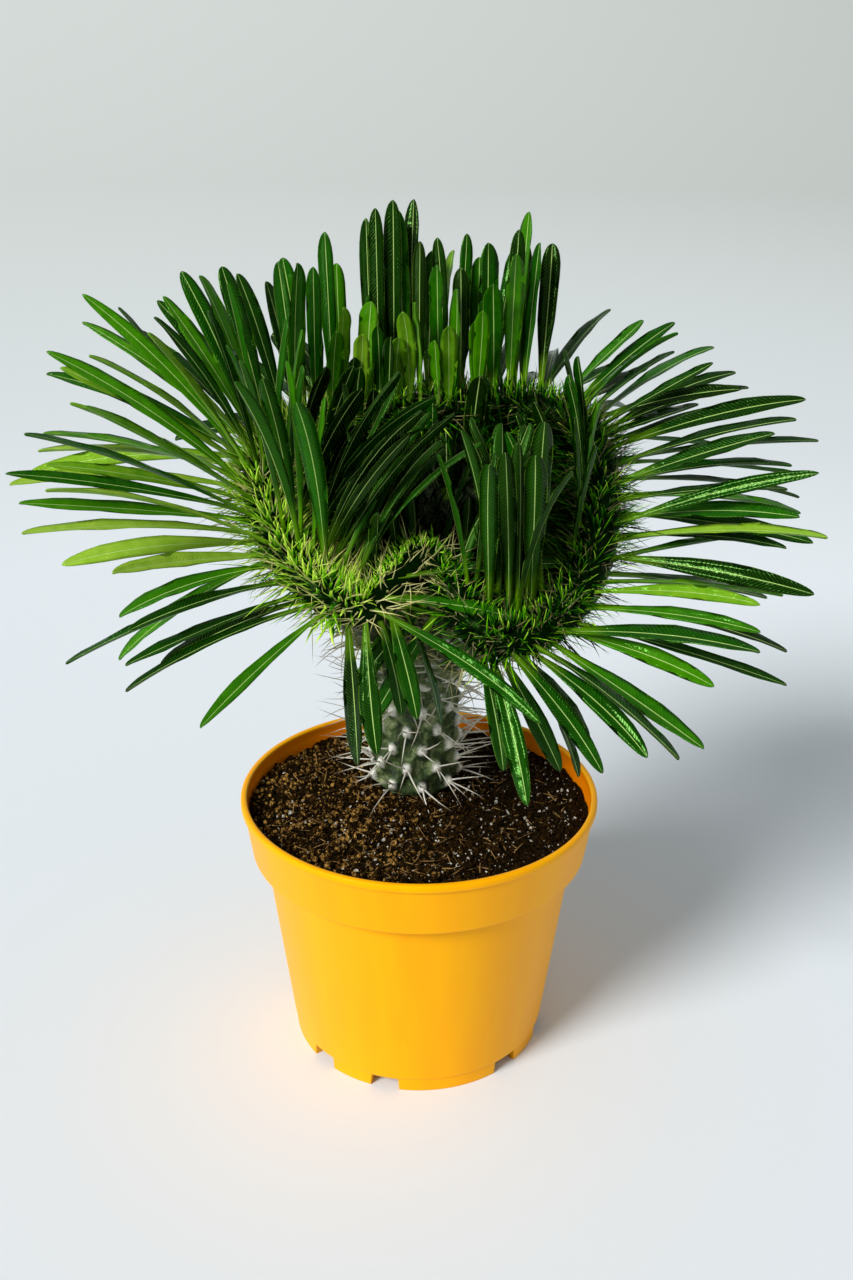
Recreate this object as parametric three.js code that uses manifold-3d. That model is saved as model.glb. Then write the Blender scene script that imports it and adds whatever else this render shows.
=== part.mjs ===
// A crested Madagascar palm (Pachypodium lamerei, cristate form) in a plastic nursery pot.
// Millimetres, +Z up, front towards -Y. The origin is on the floor, on the pot's axis.
import * as THREE from 'three';
import { mergeVertices } from 'three/addons/utils/BufferGeometryUtils.js';
import Module from 'manifold-3d';

const wasm = await Module();
wasm.setup();
const { Manifold, Mesh } = wasm;

// ---------------------------------------------------------------- driving dimensions

const clearance = 0.3; // between pieces that touch

const pot = {
  height: 168,
  rimRadius: 110,
  lipHeight: 5,
  lipProud: 1.6,
  collarFootZ: 132, // lower edge of the wide collar under the rim
  collarFootRadius: 104,
  bodyTopRadius: 96.5,
  bodyFootRadius: 81.5,
  bodyFootZ: 8.2,
  footRadius: 80.5,
  footWidth: 5,
  wall: 2,
  floor: 2.6,
  longFoot: { centre: -75.5, span: 45 }, // degrees round the axis, repeated every quarter turn
  shortFoot: { centre: -30.5, span: 20 },
  drain: { count: 8, radius: 4.5, pitchRadius: 62 },
  sides: 40,
};

const soil = { surfaceZ: 157, relief: 1.3, calmRadius: 34, sides: 36 };

const stem = {
  x: -3,
  y: 30,
  buriedZ: 116,
  buriedRadius: 22.5,
  soilLineZ: 158.8, // the plain round stretch ends just above the soil
  trunkTopZ: 226,
  radius: 24,
  tubercleHeight: 4.5,
  tubercleRows: 5,
  tuberclesRound: 9,
  lean: -6, // forward at the trunk's top
  wallRibHeight: 3.2,
  wallRibs: 27,
  columns: 54,
};

// The growing line of the crest, anticlockwise from the right, seen from above.
const crestLine = [
  [103, 26, 355],
  [92, 60, 379],
  [62, 80, 385],
  [14, 86, 383],
  [-36, 84, 379],
  [-74, 62, 373],
  [-90, 26, 361],
  [-82, -8, 339],
  [-62, -37, 318],
  [-32, -47, 305],
  [2, -19, 322],
  [36, -50, 292],
  [68, -48, 294],
  [94, -20, 321],
];

const crest = {
  halfWidth: 13,
  capThickness: 3.5,
  capGap: 0.45, // between the growing band and the woody rim under it
  capAngles: [-20, 35, 90, 145, 200], // degrees over the ridge, from its outer foot to its inner
  valley: [2, 44, 298],
};

const leaf = {
  steps: 20, // straight steps in a blade's midrib
  stations: [0, 6, 12, 17, 19, 20], // steps at which the solid has a section
  sunk: 2.6,
  keel: 1.3,
  baseShare: 0.26, // width of the stalk over that of the blade
  ways: 8, // ways to grow that each leaf picks from
  room: [4, 12], // free round a midrib, at its root and its tip
  widestFrom: 0.62,
  tipFrom: 0.84,
  lean: 30, // degrees that a blade turns its face to the light, at most
  light: [-0.45, -0.74, 0.5],
};

// Fans of leaves round the crest. at: place on crestLine; over: place over the ridge in
// degrees; rise: degrees above level at the root; bend: degrees lost by the tip;
// turn: degrees off the crest's own outward direction.
const fans = {
  left: {
    count: 16, at: [5.7, 7.6], over: [0, 60], rise: [2, 44],
    bend: [6, 26], length: [106, 140], turn: [-14, 14],
  },
  upLeft: {
    count: 5, at: [5.5, 6.6], over: [20, 75], rise: [34, 56],
    bend: [8, 24], length: [100, 136], turn: [-10, 16],
  },
  lowerLeft: {
    count: 8, at: [7.4, 8.7], over: [-14, 20], rise: [-22, 8],
    bend: [10, 30], length: [88, 132], turn: [-52, -4],
  },
  frontLeft: {
    count: 5, at: [8.75, 9.5], over: [-16, 8], rise: [-78, -52],
    bend: [2, 18], length: [56, 84], turn: [-20, 40],
  },
  crossing: {
    count: 5, at: [8.9, 9.6], over: [20, 75], rise: [-22, 14],
    bend: [8, 34], length: [76, 118], turn: [40, 70],
  },
  frontRight: {
    count: 6, at: [10.95, 11.6], over: [-16, 10], rise: [-60, -34],
    bend: [6, 24], length: [64, 90], turn: [36, 72],
  },
  lowerRight: {
    count: 12, at: [11.5, 13.2], over: [-14, 24], rise: [-16, 18],
    bend: [6, 28], length: [84, 124], turn: [10, 42],
  },
  right: {
    count: 20, at: [13.1, 15], over: [-5, 55], rise: [-8, 30],
    bend: [4, 24], length: [94, 127], turn: [-12, 8],
  },
  upperRight: {
    count: 9, at: [0.6, 1.9], over: [20, 80], rise: [12, 46],
    bend: [4, 20], length: [56, 92], turn: [-40, -8],
  },
  back: {
    count: 11, at: [1.2, 5.4], over: [0, 50], rise: [2, 60],
    bend: [28, 56], length: [57, 73], turn: [-16, 16],
  },
  backLeft: {
    count: 6, at: [4.15, 5.2], over: [60, 120], rise: [74, 92],
    bend: [0, 12], length: [72, 104], turn: [-16, 16],
  },
  backTall: {
    count: 5, at: [3.35, 3.95], over: [65, 130], rise: [82, 93],
    bend: [0, 10], length: [104, 118], turn: [-20, 20],
  },
  backMid: {
    count: 7, at: [2.3, 3.35], over: [65, 130], rise: [78, 92],
    bend: [0, 12], length: [66, 98], turn: [-20, 20],
  },
  backRight: {
    count: 4, at: [1.75, 2.3], over: [65, 130], rise: [78, 92],
    bend: [0, 12], length: [74, 108], turn: [-20, 20],
  },
  secondRow: {
    count: 10, at: [2.2, 4.6], over: [135, 175], rise: [86, 100],
    bend: [6, 30], length: [42, 76], turn: [-20, 20],
  },
  upperLeft: {
    count: 7, at: [5.3, 6.5], over: [30, 95], rise: [48, 86],
    bend: [4, 20], length: [84, 120], turn: [-14, 14],
  },
  innerLeft: {
    count: 8, at: [6.2, 8.4], over: [85, 140], rise: [76, 100],
    bend: [6, 22], length: [80, 112], turn: [-20, 20],
  },
  archLeft: {
    count: 10, at: [7.2, 9.3], over: [110, 165], rise: [104, 122],
    bend: [12, 44], length: [90, 122], turn: [-80, -30],
  },
  innerRight: {
    count: 9, at: [10.4, 12.3], over: [95, 160], rise: [76, 112],
    bend: [4, 30], length: [66, 112], turn: [-34, 34],
  },
  hollowRight: {
    count: 2, at: [12.7, 14.6], over: [140, 175], rise: [88, 104],
    bend: [4, 22], length: [60, 84], turn: [-18, 18],
  },
};
const leafWidth = [8, 12.5];
const leafSeed = 20614;

// Young leaves that crowd the growing line.
const tuft = { perPoint: 4, over: [0, 180], length: [16, 34], radius: 2, sunk: 3, lean: 40, seed: 4051 };

const spine = {
  perTubercle: 2,
  length: [22, 40],
  radius: 0.65,
  sunk: 2,
  spread: 40, // degrees between the spines of a tubercle
  climb: [-14, 34],
  seed: 771,
};

// ---------------------------------------------------------------- small helpers

const degrees = Math.PI / 180;
const mix = (a, b, share) => a + (b - a) * share;
const up = new THREE.Vector3(0, 0, 1);

// Numbers from 0 to 1 that are the same on every run.
function seededRandom(seed) {
  let state = seed;
  return () => {
    state = (state * 1664525 + 1013904223) % 4294967296;
    return state / 4294967296;
  };
}

function solidOf(geometry) {
  const bare = geometry.index ? geometry.toNonIndexed() : geometry.clone();
  bare.deleteAttribute('normal');
  bare.deleteAttribute('uv');
  const merged = mergeVertices(bare, 1e-4);
  const index = merged.index.array;
  const kept = [];
  for (let i = 0; i < index.length; i += 3) {
    const [a, b, c] = [index[i], index[i + 1], index[i + 2]];
    if (a !== b && b !== c && a !== c) kept.push(a, b, c);
  }
  return new Manifold(
    new Mesh({
      numProp: 3,
      vertProperties: merged.attributes.position.array,
      triVerts: new Uint32Array(kept),
    }),
  );
}

function geometryOf(solid) {
  const mesh = solid.getMesh();
  const geometry = new THREE.BufferGeometry();
  geometry.setAttribute('position', new THREE.BufferAttribute(mesh.vertProperties, 3));
  geometry.setIndex(new THREE.BufferAttribute(mesh.triVerts, 1));
  const flat = geometry.toNonIndexed();
  flat.computeVertexNormals();
  return flat;
}

// A closed skin over rings of points that all have the same count. Each end is a fan to
// the ring's own middle, or to a given point.
function skinOver(rings, firstPole, lastPole) {
  const round = rings[0].length;
  const points = rings.flat();
  const faces = [];
  for (let i = 0; i + 1 < rings.length; i++) {
    for (let j = 0; j < round; j++) {
      const a = i * round + j;
      const b = i * round + ((j + 1) % round);
      faces.push(a, b, b + round, a, b + round, a + round);
    }
  }
  const middle = (ring) =>
    ring.reduce((sum, p) => sum.add(p), new THREE.Vector3()).divideScalar(round);
  const first = points.push(firstPole ?? middle(rings[0])) - 1;
  const last = points.push(lastPole ?? middle(rings[rings.length - 1])) - 1;
  const lastRing = (rings.length - 1) * round;
  for (let j = 0; j < round; j++) {
    const next = (j + 1) % round;
    faces.push(first, next, j, last, lastRing + j, lastRing + next);
  }
  const geometry = new THREE.BufferGeometry().setFromPoints(points);
  geometry.setIndex(faces);
  return geometry;
}

// A straight three-sided needle from a point, along a direction.
function needle(from, along, length, radius) {
  const geometry = new THREE.ConeGeometry(radius, length, 3);
  geometry.translate(0, length / 2, 0);
  geometry.applyQuaternion(new THREE.Quaternion().setFromUnitVectors(new THREE.Vector3(0, 1, 0), along));
  geometry.translate(from.x, from.y, from.z);
  return solidOf(geometry);
}

// The same skin with every point moved out along its normal.
function swollen(skin, by) {
  const geometry = mergeVertices(skin, 1e-4);
  geometry.computeVertexNormals();
  const { position, normal } = geometry.attributes;
  for (let i = 0; i < position.count; i++) {
    position.setXYZ(
      i,
      position.getX(i) + by * normal.getX(i),
      position.getY(i) + by * normal.getY(i),
      position.getZ(i) + by * normal.getZ(i),
    );
  }
  return geometry;
}

function largestBody(solid) {
  return solid.decompose().reduce((best, one) => (one.volume() > best.volume() ? one : best));
}

function namedMesh(name, solid, material) {
  const mesh = new THREE.Mesh(geometryOf(solid), material);
  mesh.name = name;
  return mesh;
}

// ---------------------------------------------------------------- pot

// The lathed body, from the middle of its underside up to the rim and down inside.
function potBody() {
  const { wall, lipHeight, lipProud } = pot;
  const lipFootZ = pot.height - lipHeight;
  const collarTopRadius = pot.rimRadius - lipProud;
  const outline = [
    [0, pot.bodyFootZ],
    [pot.bodyFootRadius - 3, pot.bodyFootZ],
    [pot.bodyFootRadius - 0.7, pot.bodyFootZ + 1],
    [pot.bodyFootRadius, pot.bodyFootZ + 3.5],
    [pot.bodyTopRadius, pot.collarFootZ - 1],
    [pot.bodyTopRadius + 1.5, pot.collarFootZ],
    [pot.collarFootRadius - 1.5, pot.collarFootZ],
    [pot.collarFootRadius, pot.collarFootZ + 1.5],
    [collarTopRadius, lipFootZ],
    [pot.rimRadius - 0.4, lipFootZ + 0.3],
    [pot.rimRadius, lipFootZ + 1.2],
    [pot.rimRadius, pot.height - 1.2],
    [pot.rimRadius - 1.2, pot.height],
    [pot.rimRadius - 3, pot.height],
    [pot.rimRadius - 3.8, pot.height - 1.2],
    [collarTopRadius - wall - 0.3, lipFootZ],
    [pot.collarFootRadius - wall, pot.collarFootZ + wall],
    [pot.bodyTopRadius - wall, pot.collarFootZ + wall - 0.6],
    [pot.bodyFootRadius - wall, pot.bodyFootZ + pot.floor],
    [0, pot.bodyFootZ + pot.floor],
  ].map(([r, z]) => new THREE.Vector2(r, z));
  const geometry = new THREE.LatheGeometry(outline, pot.sides);
  return solidOf(geometry.rotateX(Math.PI / 2));
}

// A block of the foot ring, `span` degrees long, standing on the floor.
function ringSector(outer, inner, centre, span, height) {
  const from = (centre - span / 2) * degrees;
  const to = (centre + span / 2) * degrees;
  const shape = new THREE.Shape();
  shape.absarc(0, 0, outer, from, to, false);
  shape.absarc(0, 0, inner, to, from, true);
  shape.closePath();
  const curveSegments = Math.max(3, Math.round(span / 6));
  return new THREE.ExtrudeGeometry(shape, { depth: height, bevelEnabled: false, curveSegments });
}

function makePot() {
  const inner = pot.footRadius - pot.footWidth;
  const feet = [];
  for (let quarter = 0; quarter < 4; quarter++) {
    for (const { centre, span } of [pot.longFoot, pot.shortFoot]) {
      const sector = ringSector(pot.footRadius, inner, centre + quarter * 90, span, pot.bodyFootZ + 1);
      feet.push(solidOf(sector));
    }
  }
  const drains = [];
  for (let i = 0; i < pot.drain.count; i++) {
    const hole = new THREE.CylinderGeometry(pot.drain.radius, pot.drain.radius, 20, 8);
    const turn = ((i + 0.5) / pot.drain.count) * 2 * Math.PI;
    hole.rotateX(Math.PI / 2);
    hole.translate(pot.drain.pitchRadius * Math.cos(turn), pot.drain.pitchRadius * Math.sin(turn), 10);
    drains.push(solidOf(hole));
  }
  return Manifold.union([potBody(), ...feet]).subtract(Manifold.union(drains));
}

// ---------------------------------------------------------------- soil

// Low rises and dips of the surface, calm round the stem.
function soilRelief(x, y) {
  const away = Math.hypot(x - stem.x, y - stem.y) - soil.calmRadius;
  const calm = THREE.MathUtils.clamp(away / 20, 0, 1);
  const wave = Math.sin(x / 9 + 1) * Math.cos(y / 11) + 0.6 * Math.sin(y / 5 - x / 7);
  return soil.relief * calm * wave;
}

function makeSoil() {
  const inside = pot.wall + clearance;
  const floorZ = pot.bodyFootZ + pot.floor + clearance;
  const stepZ = pot.collarFootZ + pot.wall + clearance;
  const rimShare = (soil.surfaceZ - pot.collarFootZ) / (pot.height - pot.lipHeight - pot.collarFootZ);
  const topRadius = mix(pot.collarFootRadius, pot.rimRadius - pot.lipProud, rimShare) - inside - 1;
  const outline = [
    [0, floorZ],
    [pot.bodyFootRadius - inside - 0.3, floorZ],
    [pot.bodyTopRadius - inside - 0.7, stepZ - 2.5],
    [pot.bodyTopRadius - inside - 0.5, stepZ + 0.3],
    [pot.collarFootRadius - inside - 0.8, stepZ + 0.3],
    [topRadius, soil.surfaceZ - 3],
    ...[0.97, 0.82, 0.64, 0.44, 0.22].map((share) => [topRadius * share, soil.surfaceZ]),
    [0, soil.surfaceZ],
  ].map(([r, z]) => new THREE.Vector2(r, z));
  const geometry = new THREE.LatheGeometry(outline, soil.sides).rotateX(Math.PI / 2);
  const place = geometry.attributes.position;
  for (let i = 0; i < place.count; i++) {
    if (place.getZ(i) > soil.surfaceZ - 1) {
      place.setZ(i, soil.surfaceZ + soilRelief(place.getX(i), place.getY(i)));
    }
  }
  const holeRadius = stem.buriedRadius + clearance + 0.1;
  const holeHeight = 100; // enough to leave through the surface
  const hole = new THREE.CylinderGeometry(holeRadius, holeRadius, holeHeight, stem.columns);
  hole.rotateX(Math.PI / 2);
  hole.translate(stem.x, stem.y, stem.buriedZ - clearance + holeHeight / 2);
  return solidOf(geometry).subtract(solidOf(hole));
}

// ---------------------------------------------------------------- crest line and stem

const line = new THREE.CatmullRomCurve3(
  crestLine.map((p) => new THREE.Vector3(...p)),
  true,
  'catmullrom',
  0.5,
);

// The ridge at a place on crestLine: its point, outward and upward directions.
function ridgeAt(place) {
  const share = (((place / crestLine.length) % 1) + 1) % 1;
  const point = line.getPoint(share);
  const ahead = line.getPoint((share + 0.002) % 1);
  const behind = line.getPoint((share + 0.998) % 1);
  const along = ahead.sub(behind).normalize();
  const out = new THREE.Vector3(along.y, -along.x, 0).normalize();
  return { point, out, rise: out.clone().cross(along) };
}

// The point at a radius round the ridge: 0 degrees faces out, 90 up, 180 in.
function overRidge(place, angle, radius) {
  const { point, out, rise } = ridgeAt(place);
  return point
    .addScaledVector(out, radius * Math.cos(angle * degrees))
    .addScaledVector(rise, radius * Math.sin(angle * degrees));
}

const tuberclePitch = (stem.trunkTopZ - stem.soilLineZ) / stem.tubercleRows;

// Tubercles stand in rows that are staggered by half a step.
function tubercle(turn, z) {
  const row = (z - stem.soilLineZ) / tuberclePitch - 0.5;
  const wave = Math.cos(stem.tuberclesRound * turn) * Math.cos(Math.PI * row);
  return ((1 + wave) / 2) ** 2;
}

// The trunk's axis leans forward above the soil.
function trunkAxisY(z) {
  const share = (z - stem.soilLineZ) / (stem.trunkTopZ - stem.soilLineZ);
  return stem.y + stem.lean * Math.max(0, share);
}

function trunkRing(z, radius, relief) {
  const axisY = trunkAxisY(z);
  const ring = [];
  for (let j = 0; j < stem.columns; j++) {
    const turn = (j / stem.columns) * 2 * Math.PI;
    const r = radius + relief * tubercle(turn, z);
    ring.push(new THREE.Vector3(stem.x + r * Math.cos(turn), axisY + r * Math.sin(turn), z));
  }
  return ring;
}

// A curve that leaves `from` upwards and runs out to `to`.
function flare(from, to, share) {
  const bend = new THREE.Vector3(
    mix(from.x, to.x, 0.12),
    mix(from.y, to.y, 0.12),
    mix(from.z, to.z, 0.5),
  );
  return new THREE.QuadraticBezierCurve3(from, bend, to).getPoint(share);
}

// The whole stem, from its buried foot up the trunk, out along the fan, over the ridge and
// down into the valley.
function stemSkin() {
  const rings = [];
  const ringOf = (pointAt) =>
    Array.from({ length: stem.columns }, (_, j) => pointAt(j, (j / stem.columns) * crestLine.length));
  rings.push(trunkRing(stem.buriedZ, stem.buriedRadius * 0.8, 0));
  rings.push(trunkRing(stem.buriedZ + 4, stem.buriedRadius, 0));
  rings.push(trunkRing(stem.soilLineZ, stem.buriedRadius, 0));
  for (let row = 0; row < stem.tubercleRows; row++) {
    for (const part of [0.12, 0.5]) {
      const z = stem.soilLineZ + (row + part) * tuberclePitch;
      rings.push(trunkRing(z, stem.radius, stem.tubercleHeight));
    }
  }
  const neck = trunkRing(stem.trunkTopZ, stem.radius, stem.tubercleHeight);
  rings.push(neck);
  const coreRadius = crest.halfWidth - crest.capThickness - crest.capGap;
  const wallTurns = stem.wallRibs * 2 * Math.PI;
  for (const share of [0.25, 0.5, 0.75, 0.92]) {
    rings.push(
      ringOf((j, place) => {
        const edge = overRidge(place, crest.capAngles[0], coreRadius);
        const rib = (1 + Math.cos((wallTurns * place) / crestLine.length)) / 2;
        const proud = stem.wallRibHeight * rib * Math.sin(Math.PI * share);
        return flare(neck[j], edge, share).addScaledVector(ridgeAt(place).out, proud);
      }),
    );
  }
  for (const angle of crest.capAngles) {
    rings.push(ringOf((j, place) => overRidge(place, angle, coreRadius)));
  }
  const valley = new THREE.Vector3(...crest.valley);
  for (const share of [0.35, 0.7]) {
    rings.push(
      ringOf((j, place) => {
        const edge = overRidge(place, crest.capAngles.at(-1), coreRadius);
        return new THREE.Vector3(
          mix(edge.x, valley.x, share),
          mix(edge.y, valley.y, share),
          mix(edge.z, valley.z, Math.sin((share * Math.PI) / 2)),
        );
      }),
    );
  }
  return skinOver(rings, undefined, valley);
}

// ---------------------------------------------------------------- leaves

// Half the blade's width at a share of its length: a stalk, a long strap and a round tip.
function bladeShare(share) {
  if (share > leaf.tipFrom) {
    const over = (share - leaf.tipFrom) / (1 - leaf.tipFrom);
    return Math.sqrt(Math.max(0, 1 - over * over));
  }
  const swell = Math.min(1, share / leaf.widestFrom);
  return mix(leaf.baseShare, 1, swell * swell * (3 - 2 * swell));
}

// The midrib as frames: point, direction, side and face, one at each step.
function midrib(plan) {
  const { out } = ridgeAt(plan.place);
  const heading = Math.atan2(out.y, out.x) / degrees + plan.turn;
  const point = overRidge(plan.place, plan.over, crest.halfWidth - leaf.sunk);
  const fall = plan.rise > 90 ? -plan.bend : plan.bend;
  const stride = plan.length / leaf.steps;
  const light = new THREE.Vector3(...leaf.light);
  const frames = [];
  let turned;
  for (let i = 0; i <= leaf.steps; i++) {
    const share = i / leaf.steps;
    const climb = (plan.rise - fall * share ** 1.5) * degrees;
    const compass = (heading + plan.swing * share * share) * degrees;
    const level = new THREE.Vector3(Math.cos(compass), Math.sin(compass), 0);
    const forward = level.clone().multiplyScalar(Math.cos(climb)).addScaledVector(up, Math.sin(climb));
    const face = level.clone().multiplyScalar(-Math.sin(climb)).addScaledVector(up, Math.cos(climb));
    turned ??= leaf.lean * light.dot(forward.clone().cross(face));
    const roll = (plan.roll + turned + plan.twist * share) * degrees;
    face.applyAxisAngle(forward, roll);
    frames.push({ point: point.clone(), forward, face, side: forward.clone().cross(face) });
    point.addScaledVector(forward, stride);
  }
  return frames;
}

// One way a leaf of a fan could grow.
function drawLeaf(fan, i, random) {
  const between = ([low, high]) => mix(low, high, random());
  const lift = ((i * 0.618) % 1) * 0.8 + 0.2 * random(); // rows over the ridge fill evenly
  return {
    place: mix(fan.at[0], fan.at[1], (i + 0.5 + 0.8 * (random() - 0.5)) / fan.count),
    over: mix(fan.over[0], fan.over[1], lift),
    rise: mix(fan.rise[0], fan.rise[1], lift) + 10 * (random() - 0.5),
    bend: between(fan.bend),
    length: between(fan.length),
    turn: between(fan.turn),
    width: between(leafWidth),
    roll: 56 * (random() - 0.5),
    twist: 60 * (random() - 0.5),
    swing: 40 * (random() - 0.5),
  };
}

// How much a midrib crowds the points of those already grown.
function crowding(points, grown) {
  let sum = 0;
  points.forEach((point, step) => {
    const room = mix(leaf.room[0], leaf.room[1], step / leaf.steps);
    for (const other of grown) sum += Math.max(0, 1 - point.distanceTo(other) / room);
  });
  return sum;
}

// Each leaf takes the least crowded of a few ways to grow.
function planLeaves() {
  const random = seededRandom(leafSeed);
  const plans = [];
  const grown = [];
  for (const fan of Object.values(fans)) {
    for (let i = 0; i < fan.count; i++) {
      const ways = Array.from({ length: leaf.ways }, () => drawLeaf(fan, i, random));
      const ribs = ways.map((plan) => midrib(plan).map(({ point }) => point));
      const crowds = ribs.map((points) => crowding(points, grown));
      const best = crowds.indexOf(Math.min(...crowds));
      plans.push(ways[best]);
      grown.push(...ribs[best]);
    }
  }
  return plans;
}

// A blade with a flat upper face and a keel along its midrib.
function bladeSolid(plan) {
  const frames = midrib(plan);
  const rings = leaf.stations.slice(0, -1).map((step) => {
    const { point, face, side } = frames[step];
    const half = (plan.width / 2) * bladeShare(step / leaf.steps);
    const lift = 0.12 * half;
    return [
      point.clone().addScaledVector(side, -half).addScaledVector(face, lift),
      point.clone().addScaledVector(side, half).addScaledVector(face, lift),
      point.clone().addScaledVector(face, lift - leaf.keel),
    ];
  });
  return solidOf(skinOver(rings, undefined, frames[leaf.steps].point));
}

// The green band over the ridge, closed on itself.
function growingBand() {
  const outer = crest.halfWidth;
  const inner = crest.halfWidth - crest.capThickness;
  const section = [
    ...crest.capAngles.map((angle) => [angle, outer]),
    ...crest.capAngles.toReversed().map((angle) => [angle, inner]),
  ];
  const points = [];
  const faces = [];
  const round = section.length;
  for (let j = 0; j < stem.columns; j++) {
    const place = (j / stem.columns) * crestLine.length;
    for (const [angle, radius] of section) points.push(overRidge(place, angle, radius));
    const next = ((j + 1) % stem.columns) * round;
    for (let k = 0; k < round; k++) {
      const a = j * round + k;
      const b = j * round + ((k + 1) % round);
      const c = next + ((k + 1) % round);
      const d = next + k;
      faces.push(a, d, c, a, c, b);
    }
  }
  const geometry = new THREE.BufferGeometry().setFromPoints(points);
  geometry.setIndex(faces);
  return solidOf(geometry);
}

function makeTufts() {
  const random = seededRandom(tuft.seed);
  const tufts = [];
  for (let i = 0; i < tuft.perPoint * crestLine.length; i++) {
    const place = (i + random()) / tuft.perPoint;
    const over = mix(tuft.over[0], tuft.over[1], (i * 0.618 + 0.3 * random()) % 1);
    const root = overRidge(place, over, crest.halfWidth - tuft.sunk);
    const tip = overRidge(place, over + tuft.lean * (random() - 0.5), 2 * crest.halfWidth);
    const along = tip.sub(root).normalize();
    tufts.push(needle(root, along, mix(tuft.length[0], tuft.length[1], random()), tuft.radius));
  }
  return tufts;
}

function makeFoliage() {
  const blades = planLeaves().map(bladeSolid);
  const whole = Manifold.union([growingBand(), ...blades, ...makeTufts()]);
  return largestBody(whole.subtract(solidOf(swollen(stemSkin(), clearance))).simplify(0.02));
}

// ---------------------------------------------------------------- spines

// Each tubercle bears a few spines, spread sideways. One that would run into the leaves or
// the soil is left out.
function makeSpines(foliage, ground) {
  const random = seededRandom(spine.seed);
  const spines = [];
  const reach = stem.radius + stem.tubercleHeight - spine.sunk;
  for (let row = 0; row < stem.tubercleRows; row++) {
    const z = stem.soilLineZ + (row + 0.5) * tuberclePitch;
    for (let k = 0; k < stem.tuberclesRound; k++) {
      const turn = ((k + (row % 2) / 2) / stem.tuberclesRound) * 2 * Math.PI;
      const root = new THREE.Vector3(
        stem.x + reach * Math.cos(turn),
        trunkAxisY(z) + reach * Math.sin(turn),
        z,
      );
      for (let i = 0; i < spine.perTubercle; i++) {
        const side = (i - (spine.perTubercle - 1) / 2) * spine.spread * (0.7 + 0.6 * random());
        const compass = turn + side * degrees;
        const climb = mix(spine.climb[0], spine.climb[1], random()) * degrees;
        const length = mix(spine.length[0], spine.length[1], random());
        const along = new THREE.Vector3(
          Math.cos(compass) * Math.cos(climb),
          Math.sin(compass) * Math.cos(climb),
          Math.sin(climb),
        );
        const wide = needle(root, along, length + 1, spine.radius + clearance);
        if ([foliage, ground].every((other) => other.intersect(wide).isEmpty())) {
          spines.push(needle(root, along, length, spine.radius));
        }
      }
    }
  }
  return spines;
}

// ---------------------------------------------------------------- the plant in its pot

const materials = {
  pot: new THREE.MeshStandardMaterial({ color: 0xf5a800, roughness: 0.38, metalness: 0 }),
  soil: new THREE.MeshStandardMaterial({ color: 0x2e2117, roughness: 1, metalness: 0 }),
  bark: new THREE.MeshStandardMaterial({ color: 0x75806a, roughness: 0.85, metalness: 0 }),
  leaf: new THREE.MeshStandardMaterial({ color: 0x1f6b1c, roughness: 0.4, metalness: 0 }),
};

const ground = makeSoil();
const foliage = makeFoliage();
const spines = makeSpines(foliage, ground);
const trunk = largestBody(Manifold.union([solidOf(stemSkin()), ...spines]).simplify(0.02));

const plant = new THREE.Group();
plant.add(
  namedMesh('pot', makePot(), materials.pot),
  namedMesh('potting_soil', ground, materials.soil),
  namedMesh('crested_stem', trunk, materials.bark),
  namedMesh('crest_foliage', foliage, materials.leaf),
);

export default plant;
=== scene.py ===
# A crested Madagascar palm in a yellow nursery pot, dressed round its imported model.
# Sizes are in millimetres until a mesh is made. The front is -Y, and the pot's axis is x = y = 0.
import functools
import math

import bpy
import numpy as np
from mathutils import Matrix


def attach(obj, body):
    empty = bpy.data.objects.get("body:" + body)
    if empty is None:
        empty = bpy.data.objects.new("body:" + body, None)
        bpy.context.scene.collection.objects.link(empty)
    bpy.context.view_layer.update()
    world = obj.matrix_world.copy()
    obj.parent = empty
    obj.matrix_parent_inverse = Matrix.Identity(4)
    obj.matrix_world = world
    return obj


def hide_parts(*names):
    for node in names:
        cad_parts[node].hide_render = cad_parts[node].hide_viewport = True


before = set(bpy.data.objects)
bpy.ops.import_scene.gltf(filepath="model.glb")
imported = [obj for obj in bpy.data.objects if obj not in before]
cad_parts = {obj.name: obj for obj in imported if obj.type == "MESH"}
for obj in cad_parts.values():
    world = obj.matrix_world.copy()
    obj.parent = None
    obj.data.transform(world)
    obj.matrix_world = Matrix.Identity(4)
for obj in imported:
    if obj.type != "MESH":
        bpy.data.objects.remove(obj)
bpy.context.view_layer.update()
print("packed model loaded")

millimetre = 0.001
fullTurn = 2 * math.pi


def toLinear(hexColour):
    # sRGB to linear light, each channel by the standard curve
    channels = np.array([int(hexColour[i:i + 2], 16) for i in (1, 3, 5)]) / 255
    curved = np.where(channels <= 0.04045, channels / 12.92, ((channels + 0.055) / 1.055) ** 2.4)
    return (*curved.tolist(), 1.0)


def mix(a, b, share):
    # a at a share of 0, b at a share of 1
    return a + (b - a) * share


def smooth(low, high, value):
    # 0 below low, 1 above high, and an S-curve 3t^2 - 2t^3 between them
    t = np.clip((value - low) / (high - low), 0, 1)
    return t * t * (3 - 2 * t)


def unit(vectors):
    # the same directions with a length of 1
    return vectors / np.maximum(np.linalg.norm(vectors, axis=-1, keepdims=True), 1e-9)


def polar(radius, turn, height, x=0.0, y=0.0):
    # points at a radius and a turn, in radians, round the upright axis through (x, y)
    return np.stack(np.broadcast_arrays(x + radius * np.cos(turn), y + radius * np.sin(turn),
                                        height), -1)


def climbing(compass, climb):
    # directions that climb from level towards a compass turn, both in radians
    return polar(np.cos(climb), compass, np.sin(climb))


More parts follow.
